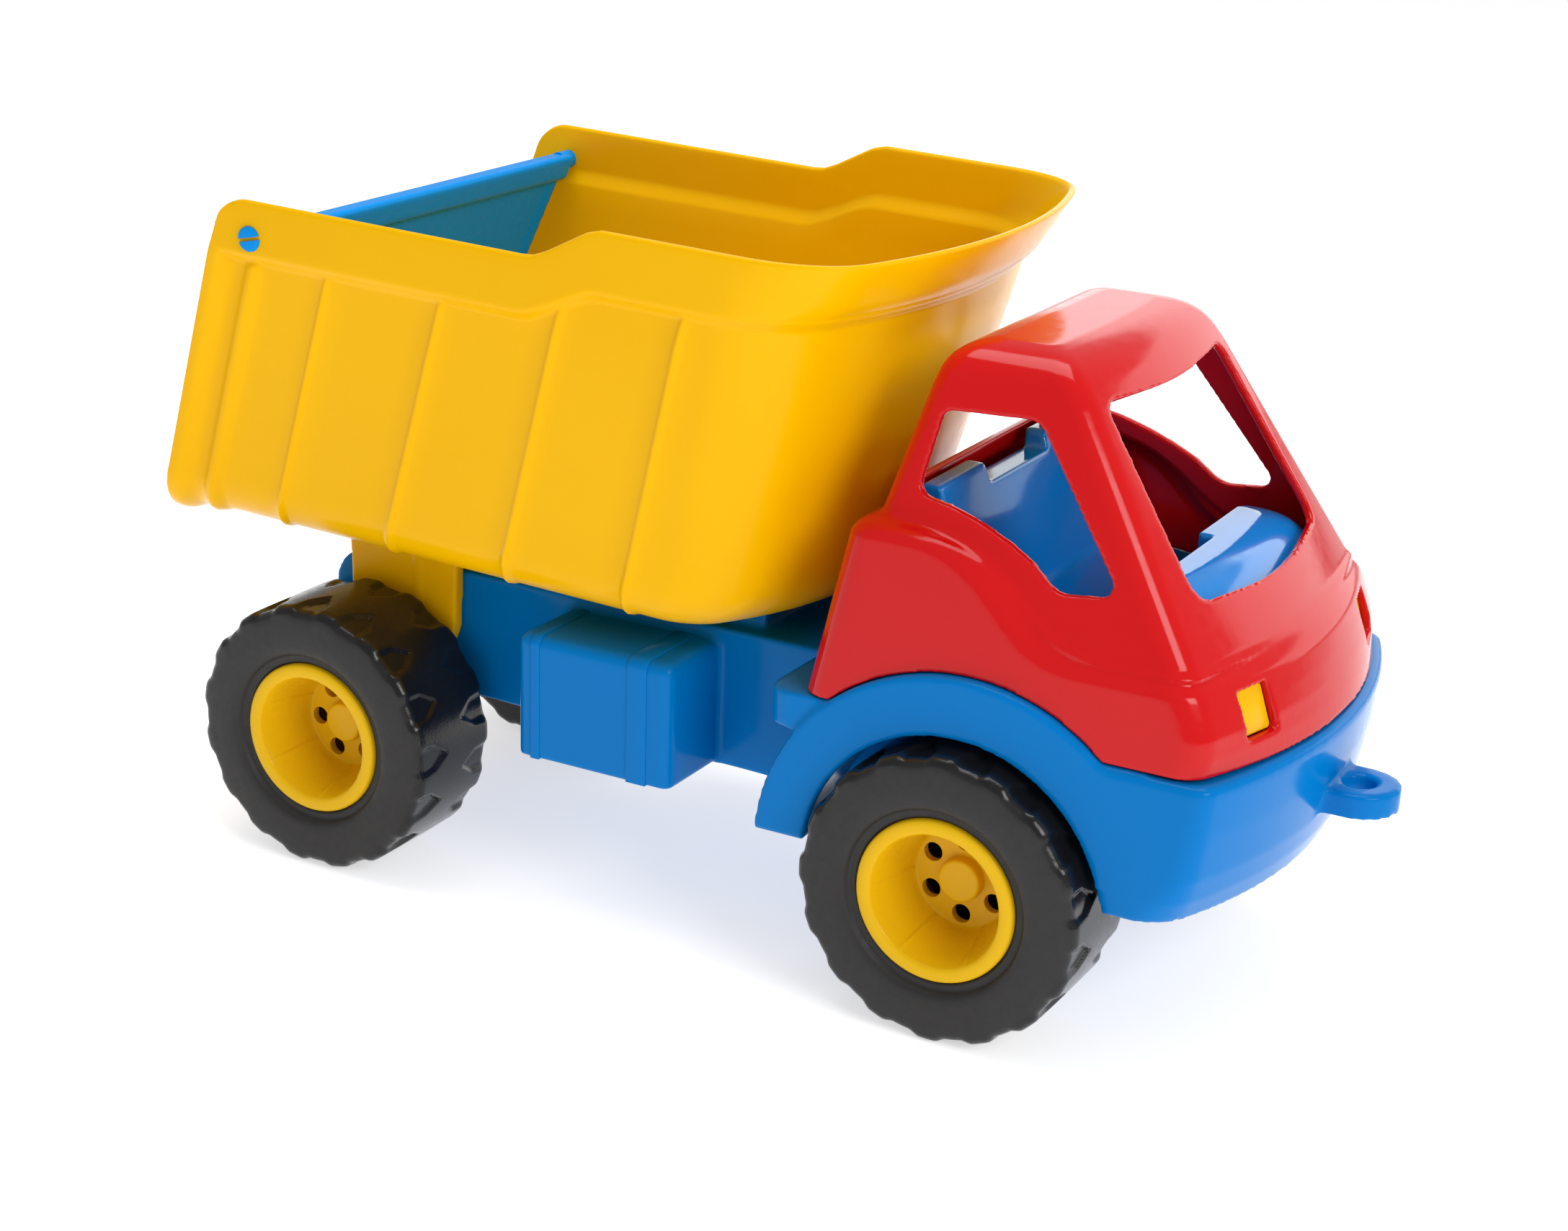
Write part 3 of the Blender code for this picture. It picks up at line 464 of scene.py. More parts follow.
def bed_stations():
    rear = [BED_BACK + REAR_ROUND * (1 - math.cos(math.pi / 2 * k / 12)) for k in range(13)]
    rear += [BED_BACK + REAR_EDGE * k / 4 for k in range(4)]
    frame_end = [ramp(k, (0, 6), FRAME_U) for k in range(7)]
    flute = [FLUTE_U + FLUTE_HALF * k / 6 for k in range(-6, 7)]
    ribs = [r + RIB_HALF * k / 4 for r in RIBS_U for k in range(-4, 5)]
    front = FRONT_U - CORNER_R - 9.0
    plain = list(np.arange(FRAME_U[1] + STATION_STEP, front, STATION_STEP))
    plain = [u for u in plain if all(abs(u - r) > FLUTE_HALF + 1 for r in (*RIBS_U, FLUTE_U))]
    return sorted(set(round(float(u), 2) for u in rear + frame_end + flute + ribs + plain))


def bed_top(u):
    top = soft_ramp(u, RAMP_U, (TOP_LOW, TOP_HIGH))
    past = BED_BACK + REAR_ROUND - u
    if past > 0:
        top -= REAR_ROUND - math.sqrt(max(REAR_ROUND**2 - past**2, 0.0))
    return top


def bed_ledge(u):
    return soft_ramp(u, (RAMP_U[0] + 4, RAMP_U[1] + 4), (LEDGE_LOW, LEDGE_HIGH), 4.0)


def bump(u, centre, half, height):
    t = abs(u - centre) / half
    return height * math.cos(t * math.pi / 2) ** 2 if t < 1 else 0.0


def rear_edge(u):
    """How far the wall's faces draw in towards each other at the very back, so that the edge is round."""
    past = max(BED_BACK + REAR_EDGE - u, 0.0)
    return REAR_EDGE - math.sqrt(max(REAR_EDGE**2 - past**2, 0.0))


def frame_bump(u):
    return BAND * (1 - smooth((u - FRAME_U[0]) / (FRAME_U[1] - FRAME_U[0])))


def rib_bump(u):
    ribs = sum(bump(u, r, RIB_HALF, RIB_H) for r in RIBS_U)
    return ribs + bump(u, FLUTE_U, FLUTE_HALF, FLUTE_H)


def bed_width(z):
    return LEDGE_W - SIDE_TAPER * (LEDGE_LOW - max(min(z, LEDGE_LOW), BED_FLOOR_Z + BED_ARC))


def bed_front(z):
    return FRONT_U - FRONT_TAPER * (206.0 - min(z, 206.0))


def bed_section(u, inner):
    """Levels up one side: height, offset from the wall line, normal (across, up), rib share, lip share."""
    t = BED_T if inner else 0.0
    r = BED_ARC - t
    levels = []
    for k in range(FLOOR_STEPS):
        a = -math.pi / 2 + math.pi / 2 * k / (FLOOR_STEPS - 1)
        across, up = math.cos(a), math.sin(a)
        share = 0.0 if inner else smooth(2 * k / (FLOOR_STEPS - 1))
        levels.append((BED_FLOOR_Z + BED_ARC + r * up, r * across - BED_ARC, across, up, share, 0.0))
    top = bed_top(u)
    ledge = min(bed_ledge(u), top - 6) + (1.2 if inner else 0.0)
    start = BED_FLOOR_Z + BED_ARC
    share = 0.0 if inner else 1.0
    for k in range(1, 12):
        levels.append((start + (ledge - 3.4 - start) * k / 12, -t, 1.0, 0.0, share, 0.0))
    for k in range(9):
        s = k / 8
        rib_share = share * (1 - smooth(2 * s))
        levels.append((ledge - 3.4 + 5.4 * s, BAND * smooth(s) - t, 1.0, 0.0, rib_share, 0.0))
    half = BED_T / 2
    side = 1.0 if inner else -1.0
    low_lip = ledge + 2.6
    for k in range(4):
        z = low_lip + (top - half - low_lip) * k / 4
        levels.append((z, BAND - t, 1.0, 0.0, 0.0, (z - ledge) / (top - ledge)))
    for k in range(6):
        a = math.pi / 2 * k / 5
        z = top - half + half * math.sin(a)
        out = BAND - t + side * half * (1 - math.cos(a))
        levels.append((z, out, 1.0, 0.0, 0.0, (z - ledge) / (top - ledge)))
    return levels


def bed_world(u, y, z):
    """From the upright drawing to the truck's frame: leaned forward, then tilted a little nose down."""
    x = u + ramp(u, LEAN_U, LEAN) * (z - LEAN_Z)
    return (x, y, z - TILT * (x - TILT_X))


def bed_row(level, inner, stations, sections):
    flat = sections[-1][level]
    arc_r = ramp(flat[0], (BED_FLOOR_Z, LEDGE_HIGH), FRONT_R)
    width, front = bed_width(flat[0]), bed_front(flat[0])
    half = half_plan(BED_BACK, width, front, arc_r, CORNER_R, stations, CORNER_STEPS, ARC_STEPS)
    row = []
    count = len(stations)
    for i, (u, y, nx, ny) in enumerate(half):
        z, out, across, up, share, lip = sections[i][level] if i < count else flat
        if i < count:
            y = -bed_width(z)
        flare = FLARE * lip * smooth((i - count) / CORNER_STEPS)
        grow = out + flare
        lift = 0.0
        if inner:
            sill = GATE_SILL * smooth((GATE_SILL_U - u) / 1.5) * max(-up, 0.0)
            grow += rear_edge(u) * 0.6 * across
            lift = rear_edge(u) * 0.6 * up - sill
        else:
            band = frame_bump(u) - rear_edge(u)
            grow = max(out, -BED_ARC + (BED_ARC + frame_bump(u)) * across) - rear_edge(u) * across
            grow += rib_bump(u) * share * across + flare
            lift = (band + rib_bump(u) * share) * up
        row.append((u + grow * nx, y + grow * ny, z + lift))
    return mirrored(row)


def bed_shell(name):
    stations = bed_stations()
    verts = []
    rows = []
    for inner in (False, True):
        sections = [bed_section(u, inner) for u in stations] + [bed_section(60.0, inner)]
        for level in range(len(sections[0])):
            row = bed_row(level, inner, stations, sections)
            rows.append([len(verts) + i for i in range(len(row))])
            verts += [bed_world(*p) for p in row]
    levels = len(rows) // 2
    n = len(rows[0])
    outer, inner = rows[:levels], rows[levels:]
    faces = bands(outer) + bands(inner) + bands([outer[-1], inner[-1]])
    for k in range(levels - 1):
        for i in (0, n - 1):
            faces.append((outer[k][i], outer[k + 1][i], inner[k + 1][i], inner[k][i]))
    for row in (outer[0], inner[0]):
        for i in range(n // 2):
            faces.append(tuple(dict.fromkeys((row[i], row[i + 1], row[n - 2 - i], row[n - 1 - i]))))
    faces.append((outer[0][0], inner[0][0], inner[0][n - 1], outer[0][n - 1]))
    return shaded(add(name, verts, faces), 50.0)


def bed_floor(x):
    """Height of the floor's upper face."""
    return BED_FLOOR_Z + BED_T - TILT * (x - TILT_X)


def make_bed(mat):
    """The bed itself and the two ribbed legs under it."""
    fit_out(bed_shell("dump_bed_skin"), mat, "bed", ["dump_bed"])
    corners = [(x, bed_floor(x) - BED_T / 2) for x in LEG_X]
    foot = [(LEG_X[1] - 2.0, LEG_FOOT_Z), (LEG_X[0] + 1.0, LEG_FOOT_Z)]
    outline = rounded(corners + foot, [0, 0, 14.0, 14.0])
    rib = [(LEG_RIB_X[0], LEG_RIB_Z[1]), (LEG_RIB_X[1], LEG_RIB_Z[1])]
    rib += [(LEG_RIB_X[1], LEG_RIB_Z[0]), (LEG_RIB_X[0], LEG_RIB_Z[0])]
    for side, hand in ((-1, "right"), (1, "left")):
        leg = prism(f"bed_leg_{hand}", outline, "y", *sorted((side * LEG_Y[0], side * LEG_Y[1])))
        rib_y = sorted((side * LEG_Y[0], side * (LEG_Y[1] + LEG_RIB_H)))
        join(leg, prism("leg_rib", rounded(rib, 1.0), "y", *rib_y))
        fit_out(moulded(leg, SMALL_VOXEL, 6), mat, "bed", ["dump_bed"])


# ---------------------------------------------------------------- tailgate
def make_gate_pins(mat, inner_y):
    """The gate's two hinge pins: domed snap ends, each split by a slot."""
    x, _, z = bed_world(GATE_U, 0, GATE_Z)
    end = GATE_PIN_END
    profile = [(0.0, inner_y - 3), (3.2, inner_y - 3), (3.2, end - 2.2)]
    profile += [(GATE_PIN_R, end - 1.6), (GATE_PIN_R, end - 1.0)]
    profile += arc_points(GATE_PIN_R - 1.0, end - 1.0, 1.0, 0, 90, 6) + [(0.0, end)]
    for side, hand in ((-1, "right"), (1, "left")):
        pin = lathe(f"gate_pin_{hand}", profile, side, 48)
        slot = sorted((side * (end - 4.0), side * (end + 3)))
        cut(pin, box("pin_slot", (-6, 6), slot, (-PIN_SLOT / 2, PIN_SLOT / 2)))
        shaded(settle(pin), 30.0)
        pin.location = (x * MM, 0.0, z * MM)
        pin.rotation_euler = (0.0, math.radians(-12), 0.0)
        fit_out(pin, mat, "gate", ["tailgate"])


def make_tailgate(mat):
    """A thin panel between the bed walls with a stiff top bar, a raised rim and two split pins."""
    floor = BED_FLOOR_Z + BED_T + 0.3 - GATE_SILL
    arc = BED_ARC - BED_T
    wide = LEDGE_W - BED_T - GATE_GAP
    ring = []
    for k in range(10):
        a = -math.pi / 2 + math.pi / 2 * k / 9
        z = floor + arc + arc * math.sin(a)
        ring.append((bed_width(z) - BED_ARC + (arc - 1.2) * math.cos(a), z))
    ring += [(bed_width(z) - BED_T - GATE_GAP, z) for z in (150.0, 180.0, 196.0)] + [(wide, GATE_Z + 2.0)]

    def panel(name, outline, low, high):
        verts = [bed_world(GATE_U + u, y, z) for u in (low, high) for y, z in outline]
        rows = [list(range(len(outline))), list(range(len(outline), 2 * len(outline)))]
        return add(name, verts, bands(rows, True) + [tuple(rows[0]), tuple(rows[1])])

    outline = ring + [(-y, z) for y, z in reversed(ring)]
    gate = panel("tailgate_skin", outline, -GATE_T / 2, GATE_T / 2)
    frame_half = [(y - GATE_FRAME, max(z, floor + GATE_FRAME)) for y, z in ring]
    field = frame_half + [(-y, z) for y, z in reversed(frame_half)]
    inset = GATE_T / 2 - GATE_FIELD_DEPTH
    for low, high in ((inset, 3.0), (-3.0, -inset)):
        cut(gate, panel(f"gate_field_{low:.1f}", field, low, high))
    low, high = GATE_BAR_Z
    corners = [(-GATE_BAR_HALF, low), (GATE_BAR_HALF, low), (GATE_BAR_HALF, high), (-GATE_BAR_HALF, high)]
    bar = [(GATE_U + u, GATE_Z + z) for u, z in rounded(corners, 2.0)]
    ends = [bed_world(u, side * wide, z) for side in (-1, 1) for u, z in bar]
    rows = [list(range(len(bar))), list(range(len(bar), 2 * len(bar)))]
    join(gate, add("gate_bar", ends, bands(rows, True) + [tuple(rows[0]), tuple(rows[1])]))
    make_gate_pins(mat, wide)
    fit_out(moulded(gate, SMALL_VOXEL, 4), mat, "gate", ["tailgate"])


# ---------------------------------------------------------------- chassis
def rail_bottom(x):
    return RAIL_BOTTOM_Z - RAIL_SLOPE * min(x - 12.0, 0.0)


def beam_outline(inset, low_extra, top):
    back = CHASSIS_BACK + inset
    corner = max(14.0 - inset, 1.0)
    front = 170.0 - inset
    points = [(back, rail_bottom(back) - low_extra), (back, top), (front, top), (front, SKIRT_Z - low_extra)]
    return rounded(points, [0, corner, 0, 0], 12) + [(12.0, RAIL_BOTTOM_Z - low_extra)]


def sector(name, inner_r, outer_r, low_z, front_deg, y, steps=80):
    """An arch over the front wheel, from front_deg above the level of the axle back and down to low_z."""
    points = []
    for x, r, order in ((FENDER_X, outer_r, 1), (FRONT_AXLE_X, inner_r, -1)):
        start = math.radians(front_deg)
        end = math.pi - math.asin((low_z - AXLE_Z) / r)
        angles = [start + (end - start) * k / steps for k in range(steps + 1)]
        points += [(x + r * math.cos(a), AXLE_Z + r * math.sin(a)) for a in angles[::order]]
    return prism(name, points, "y", y[0], y[1])


def bumper_levels():
    levels = list(BUMPER)
    for k in range(1, 7):
        a = math.pi / 2 * k / 6
        inset = BUMPER_EDGE * (1 - math.cos(a))
        z, half_w, nose, arc_r, corner = BUMPER[-1]
        levels.append((z + BUMPER_EDGE * math.sin(a), half_w - inset, nose - inset, arc_r, corner - inset))
    return levels


def tow_tongue():
    turns = [math.pi * (k / 48 - 0.5) for k in range(49)]
    outline = [(TOW_X + TOW_R * math.cos(a), TOW_R * math.sin(a)) for a in turns]
    outline += [(TOW_BACK, TOW_R), (TOW_BACK, -TOW_R)]
    return prism("tow_tongue", outline, "z", TOW_Z[0], TOW_Z[1])


def side_boxes(chassis):
    for side in (-1, 1):
        y = sorted((side * (RAIL_Y - 1), side * BOX_Y))
        join(chassis, soft_box(f"side_box_{side}", BOX_X, y, BOX_Z, BOX_EDGE))


def make_straps(mat):
    """Two raised straps over the face and the top of each tool box."""
    for side, hand in ((-1, "right"), (1, "left")):
        for k, strap in enumerate(STRAPS):
            face, top = BOX_Y + STRAP_H, BOX_Z[1] + STRAP_H
            corners = [(RAIL_Y, top), (face, top), (face, BOX_Z[0]), (RAIL_Y, BOX_Z[0])]
            outer = rounded(corners, [0, BOX_EDGE, 0, 0])
            band = prism(f"box_strap_{hand}_{k}", [(side * y, z) for y, z in outer], "x", strap[0], strap[1])
            bevel = band.modifiers.new("edge", "BEVEL")
            bevel.width = 0.3 * MM
            bevel.segments = 2
            bevel.angle_limit = math.radians(40)
            fit_out(shaded(settle(band), 50.0), mat, "chassis", ["chassis"])


def hollow_chassis(chassis):
    beam = beam_outline(WALL, 8.0, DECK_Z - WALL)
    cut(chassis, prism("beam_hollow", beam, "y", WALL - RAIL_Y, RAIL_Y - WALL))
    hollow = []
    for z, half_w, nose, arc_r, corner in BUMPER:
        hollow.append((z, half_w - WALL, nose - WALL, arc_r, corner - WALL))
    hollow[0] = (hollow[0][0] - 5.0, *hollow[0][1:])
    hollow[-1] = (DECK_Z - WALL - 0.5, *hollow[-1][1:])
    cut(chassis, loft_plan("bumper_hollow", hollow, FRONT_AXLE_X + 52.0))
    for side in (-1, 1):
        y = sorted((side * RAIL_Y, side * (BOX_Y - WALL)))
        hollow_x = (BOX_X[0] + WALL, BOX_X[1] - WALL)
        cut(chassis, box(f"box_hollow_{side}", hollow_x, y, (BOX_Z[0] - 5, BOX_Z[1] - WALL)))
        y = sorted((side * 61.0, side * (FENDER_Y - WALL)))
        cut(chassis, sector(f"fender_hollow_{side}", ARCH_R + WALL, FENDER_R - WALL, SKIRT_Z - 4, 28.0, y))
        y = sorted((side * RAIL_Y, side * 90.0))
        cut(chassis, disc(f"wheel_well_{side}", (FRONT_AXLE_X, AXLE_Z), ARCH_R, y, 160))


def make_chassis(mat):
    chassis = prism("chassis_skin", beam_outline(0.0, 0.0, DECK_Z), "y", -RAIL_Y, RAIL_Y)
    side_boxes(chassis)
    corners = [(PLATFORM_BACK, -PLATFORM_Y), (PLATFORM_FRONT, -PLATFORM_Y)]
    corners += [(PLATFORM_FRONT, PLATFORM_Y), (PLATFORM_BACK, PLATFORM_Y)]
    join(chassis, prism("cab_platform", rounded(corners, [8, 0, 0, 8]), "z", PLATFORM_Z, DECK_Z))
    for side in (-1, 1):
        y = sorted((side * 58.0, side * FENDER_Y))
        join(chassis, sector(f"fender_{side}", ARCH_R - 1, FENDER_R, SKIRT_Z, 45.0, y))
    join(chassis, loft_plan("bumper", bumper_levels(), BUMPER_BACK))
    join(chassis, tow_tongue())
    join(chassis, box("bed_rest", REST_X, (-33, 33), (DECK_Z - 1, REST_TOP)))
    hollow_chassis(chassis)
    for side in (-1, 1):
        for name, x in (("front", FRONT_AXLE_X), ("rear", REAR_AXLE_X)):
            y = sorted((side * 31.0, side * RAIL_Y))
            lug = rounded([(x - 9, 37.5), (x + 9, 37.5), (x + 12, 62), (x - 12, 62)], [7, 7, 0, 0])
            join(chassis, prism(f"bearing_{name}_{side}", lug, "y", y[0], y[1]))
    for name, x in (("front", FRONT_AXLE_X), ("rear", REAR_AXLE_X)):
        cut(chassis, disc(f"axle_bore_{name}", (x, AXLE_Z), AXLE_R, (-60, 60)))
    around = np.linspace(0, 2 * math.pi, 49)[:-1]
    hole = [(TOW_X + TOW_HOLE_R * math.cos(a), TOW_HOLE_R * math.sin(a)) for a in around]
    cut(chassis, prism("tow_hole", hole, "z", 60, 90))
    fit_out(moulded(chassis, CHASSIS_VOXEL, 4), mat, "chassis", ["chassis"])


# ---------------------------------------------------------------- cab
def cab_plan(z, upper):
    """(back, half width, front, front arc radius, rear corner, front corner), lower body or upper."""
    if upper:
        half_w = 64.3 + 0.24 * (150.0 - z)
        return (57.0 + 0.26 * (z - 152.0), half_w, 157.2 - 0.683 * (z - 137.0), 300.0, 7.0, 7.0)
    half_w = 76.6 - 0.105 * (z - 95.0)
    front = 182.0 - 10.5 * ((z - 95.0) / 28.0) ** 1.15
    return (40.5 + 0.19 * (z - 97.0), half_w, front, ramp(z, (95.0, 123.0), (168.0, 230.0)), 9.0, 9.5)


def cab_ring(z_of, upper, inset, draw_in=0.0):
    """One closed level of the cab: middle of the back wall, round the -Y side to the nose, and back."""
    half = []
    back, half_w, front, arc_r, rear_r, front_r = cab_plan(z_of(60.0), upper)
    row = half_plan(back, half_w, front, arc_r, front_r, [], 12, 20)
    corner_x = row[0][0]
    stations = [(back, -(half_w - rear_r) * f, -1.0, 0.0) for f in (0.0, 0.5)]
    for k in range(9):
        a = math.pi + math.pi / 2 * k / 8
        nx, ny = math.cos(a), math.sin(a)
        stations.append((back + rear_r + rear_r * nx, -(half_w - rear_r) + rear_r * ny, nx, ny))
    for k in range(1, CAB_SIDE):
        stations.append((back + rear_r + (corner_x - back - rear_r) * k / CAB_SIDE, -half_w, 0.0, -1.0))
    for x, y, nx, ny in stations + row:
        z = z_of(x)
        b2, w2, f2, _, _, _ = cab_plan(z, upper)
        shift = (x - back) / (front - back)
        xx = x + (b2 - back) * (1 - shift) + (f2 - front) * shift - inset * nx
        middle = (b2 + f2) / 2
        xx = middle + (xx - middle) * (1 - 2 * draw_in / (f2 - b2))
        half.append((xx, (y * w2 / half_w - inset * ny) * (1 - draw_in / w2), z))
    return mirrored_ring(half)


def crease(x):
    return flow(x, CREASE_X, CREASE_Z)


def crest(x):
    return flow(x, CREST_X, CREST_Z)


def cab_levels(inset):
    rings = []
    for f in (0.0, 0.25, 0.5, 0.75, 1.0):
        rings.append(cab_ring(lambda x, f=f: CAB_Z + (crest(x) - CAB_Z) * f, False, inset))
    for k in range(1, 8):
        f = 0.85 * k / 7
        extra = 2.4 * (k / 7) ** 1.73
        rings.append(cab_ring(lambda x, f=f: crest(x) + (crease(x) - crest(x)) * f, False, inset + extra))
    rings.append(cab_ring(lambda x: crease(x) + 0.4, True, inset - 0.9))
    rings.append(cab_ring(lambda x: crease(x) + 2.2, True, inset))
    for f in (0.25, 0.5, 0.75):
        rings.append(cab_ring(lambda x, f=f: (crease(x) + 2.2) * (1 - f) + CAB_TOP[0] * f, True, inset))
    drop = inset * 0.85
    count = len(CAB_TOP)
    for k in range(4 * count - 3):
        z = flow(k / 4, range(count), CAB_TOP)
        extra = flow(k / 4, range(count), CAB_TOP_IN)
        rings.append(cab_ring(lambda x, level=z - drop * min(k / 4, 1): level, True, inset, extra))
    return rings


def screen_cutter():
    """The windscreen's outline, set on the sloping wall and drawn out square to it on both sides."""
    outline = rounded(SCREEN, SCREEN_R)
    verts = []
    for depth in (-SCREEN_REACH, SCREEN_REACH):
        for y, z in outline:
            _, _, front, arc_r, _, _ = cab_plan(z, True)
            x = front - arc_r + math.sqrt(arc_r * arc_r - y * y)
            verts.append((x + depth * SCREEN_NORMAL[0], y, z + depth * SCREEN_NORMAL[1]))
    count = len(outline)
    rows = [list(range(count)), list(range(count, 2 * count))]
    return add("windscreen_opening", verts, bands(rows, True) + [tuple(rows[0]), tuple(rows[1])])


def make_cab(mat):
    verts = []
    faces = []
    sheets = []
    for inset in (0.0, CAB_T):
        rows = []
        for ring in cab_levels(inset):
            rows.append(list(range(len(verts), len(verts) + len(ring))))
            verts += ring
        faces += bands(rows, True) + [tuple(rows[-1])]
        sheets.append(rows)
    faces += bands([sheets[0][0], sheets[1][0]], True)
    cab = add("cab_skin", verts, faces)
    cut(cab, disc("cab_arch", (FENDER_X, AXLE_Z), FENDER_R + 0.3, (-90, 90), 200))
    cut(cab, prism("side_windows", rounded(SIDE_WINDOW, SIDE_WINDOW_R), "y", -90, 90))
    cut(cab, screen_cutter())
    cut(cab, prism("rear_opening", rounded(REAR_WINDOW, 4), "x", 40.0, 90.0))
    for side in (-1, 1):
        y = sorted((side * LAMP_HOLE_Y[0], side * LAMP_HOLE_Y[1]))
        low, high = LAMP_HOLE_Z
        corners = [(y[0], low), (y[1], low), (y[1], high), (y[0], high)]
        cut(cab, prism(f"lamp_opening_{side}", rounded(corners, 1.6), "x", 150.0, 200.0))
    fit_out(moulded(cab, CAB_VOXEL, 8), mat, "chassis", ["cab_shell"])


def make_headlights(mat):
    """Yellow inserts that fill the openings from behind, set to the slope and the sweep of the wall."""
    for side, hand in ((-1, "right"), (1, "left")):
        verts = []
        rows = []
        steps = [(LAMP_FACE, -0.9), (LAMP_FACE + 0.25, -0.45), (LAMP_FACE + 0.7, -0.3), (CAB_T + 2.0, -0.3)]
        for depth, grow in steps:
            y = (LAMP_HOLE_Y[0] - grow, LAMP_HOLE_Y[1] + grow)
            z = (LAMP_HOLE_Z[0] - grow, LAMP_HOLE_Z[1] + grow)
            ring = rounded([(y[0], z[0]), (y[1], z[0]), (y[1], z[1]), (y[0], z[1])], 1.4)
            rows.append(list(range(len(verts), len(verts) + len(ring))))
            for a, b in ring:
                _, _, front, arc_r, _, _ = cab_plan(b, False)
                verts.append((front - arc_r + math.sqrt((arc_r - depth) ** 2 - a * a), side * a, b))
        lamp = add(f"headlight_{hand}_skin", verts, bands(rows, True) + [tuple(rows[0]), tuple(rows[-1])])
        fit_out(shaded(lamp, 50.0), mat, "chassis", [f"headlight_{hand}"])


def make_seats(mat):
    side = [(70.0, 100.0), (110.0, 100.0), (110.0, 114.0), (84.0, 117.0), (71.8, 158.6), (65.0, 158.6)]
    seats = prism("seats_skin", rounded(side, [0, 3, 3, 4, 1.5, 1.5]), "y", -52.5, 52.5)
    step = [(-23.0, 170.0), (23.0, 170.0), (20.5, 152.6), (-20.5, 152.6)]
    cut(seats, prism("seat_gap", step, "x", 40.0, 130.0))
    fit_out(moulded(seats, SMALL_VOXEL, 6), mat, "chassis", ["cab_seats"])


def make_dash(mat):
    """A domed block under the windscreen, its rear edge further forward on the right-hand side."""
    heights = (98.5, 127.0, 132.6, 136.2, 137.9)
    half_ws = (56.0, 58.0, 57.0, 53.5, 46.0)
    noses = (158.0, 156.8, 152.6, 147.5, 141.5)
    arcs = (300.0, 300.0, 300.0, 260.0, 220.0)
    levels = []
    for k in range(17):
        at = k / 4
        z, half_w, nose, arc_r = (flow(at, range(5), row) for row in (heights, half_ws, noses, arcs))
        levels.append((z, half_w, nose, arc_r, 10.0))
    dash = loft_plan("dash_skin", levels, DASH_BACK)
    cut(dash, box("dash_step", (DASH_BACK - 9, DASH_STEP[1]), (-90, DASH_STEP[0]), (90, 150)))
    fit_out(moulded(dash, SMALL_VOXEL, 8), mat, "chassis", ["cab_dash"])


# ---------------------------------------------------------------- wheels
def recess_depth(y, a):
    """Depth of the tread's pointed recesses, which run in from both shoulders and are staggered."""
    pitch = 2 * math.pi / LUGS
    deepest = 0.0
    for shift, near, tip in ((0.0, y - TYRE_IN, 15.0), (0.5, TYRE_OUT - y, 15.0)):
        away = abs((a / pitch - shift + 0.5) % 1.0 - 0.5) * pitch
        half = ramp(near, (0.0, 9.0, tip, tip + 2.0), (0.105, 0.09, 0.0, -0.04))
        softness = ramp(near, (0.0, 8.0), (5.0, 1.4))
        deepest = max(deepest, smooth((half - away) * TYRE_R / softness + 0.5))
    return RECESS_DEPTH * deepest


def tyre_shape(r, y, a):
    share = smooth((r - 38.5) / 4.5)
    return (r - recess_depth(min(max(y, TYRE_IN), TYRE_OUT), a) * share, y)


def tyre_profile():
    bore = RIM_R + 0.15
    wide = TYRE_OUT - TYRE_IN - 2 * TREAD_EDGE
    tread = [(TYRE_R, TYRE_IN + TREAD_EDGE + wide * k / 40) for k in range(1, 40)]
    inside = [(bore, TYRE_IN + 0.5), (HUB_R, TYRE_IN + 0.5), (HUB_R, TYRE_IN)]
    inside += [(33.0, TYRE_IN), (38.0, TYRE_IN)]
    shoulder_in = arc_points(TYRE_R - TREAD_EDGE, TYRE_IN + TREAD_EDGE, TREAD_EDGE, -90, 0)
    shoulder_out = arc_points(TYRE_R - TREAD_EDGE, TYRE_OUT - TREAD_EDGE - 0.5, TREAD_EDGE, 0, 76)
    radii = (39.5, 37.0, 34.0, 32.0, 30.6, 29.6, 29.0, 28.6, 28.3, 27.9, 27.0, 26.2)
    heights = (-0.35, -0.1, 0.0, -0.05, -0.25, -0.6, -1.0, -1.6, -2.2, -2.5, -2.6, -2.6)
    wall = [(r, TYRE_OUT + h) for r, h in zip(radii, heights)]
    return inside + shoulder_in + tread + shoulder_out + wall + [(bore, TYRE_OUT - 3.2), (bore, TYRE_MID)]


def rim_shape(r, y, a):
    """Thin ridges run down the dish, midway between the holes."""
    pitch = 2 * math.pi / RIM_HOLES
    away = abs(((a - math.pi / 2) / pitch) % 1.0 - 0.5) * pitch * r
    deep = RIM_OUT - HUB_DEPTH
    inside = r < 20.9 and y > deep - 2.0
    if not inside:
        return (r, y)
    share = smooth((r - 15.2) / 0.6) * smooth((20.8 - r) / 0.5)
    return (r - RIDGE_H * share * smooth(1 - away / RIDGE_HALF), y)


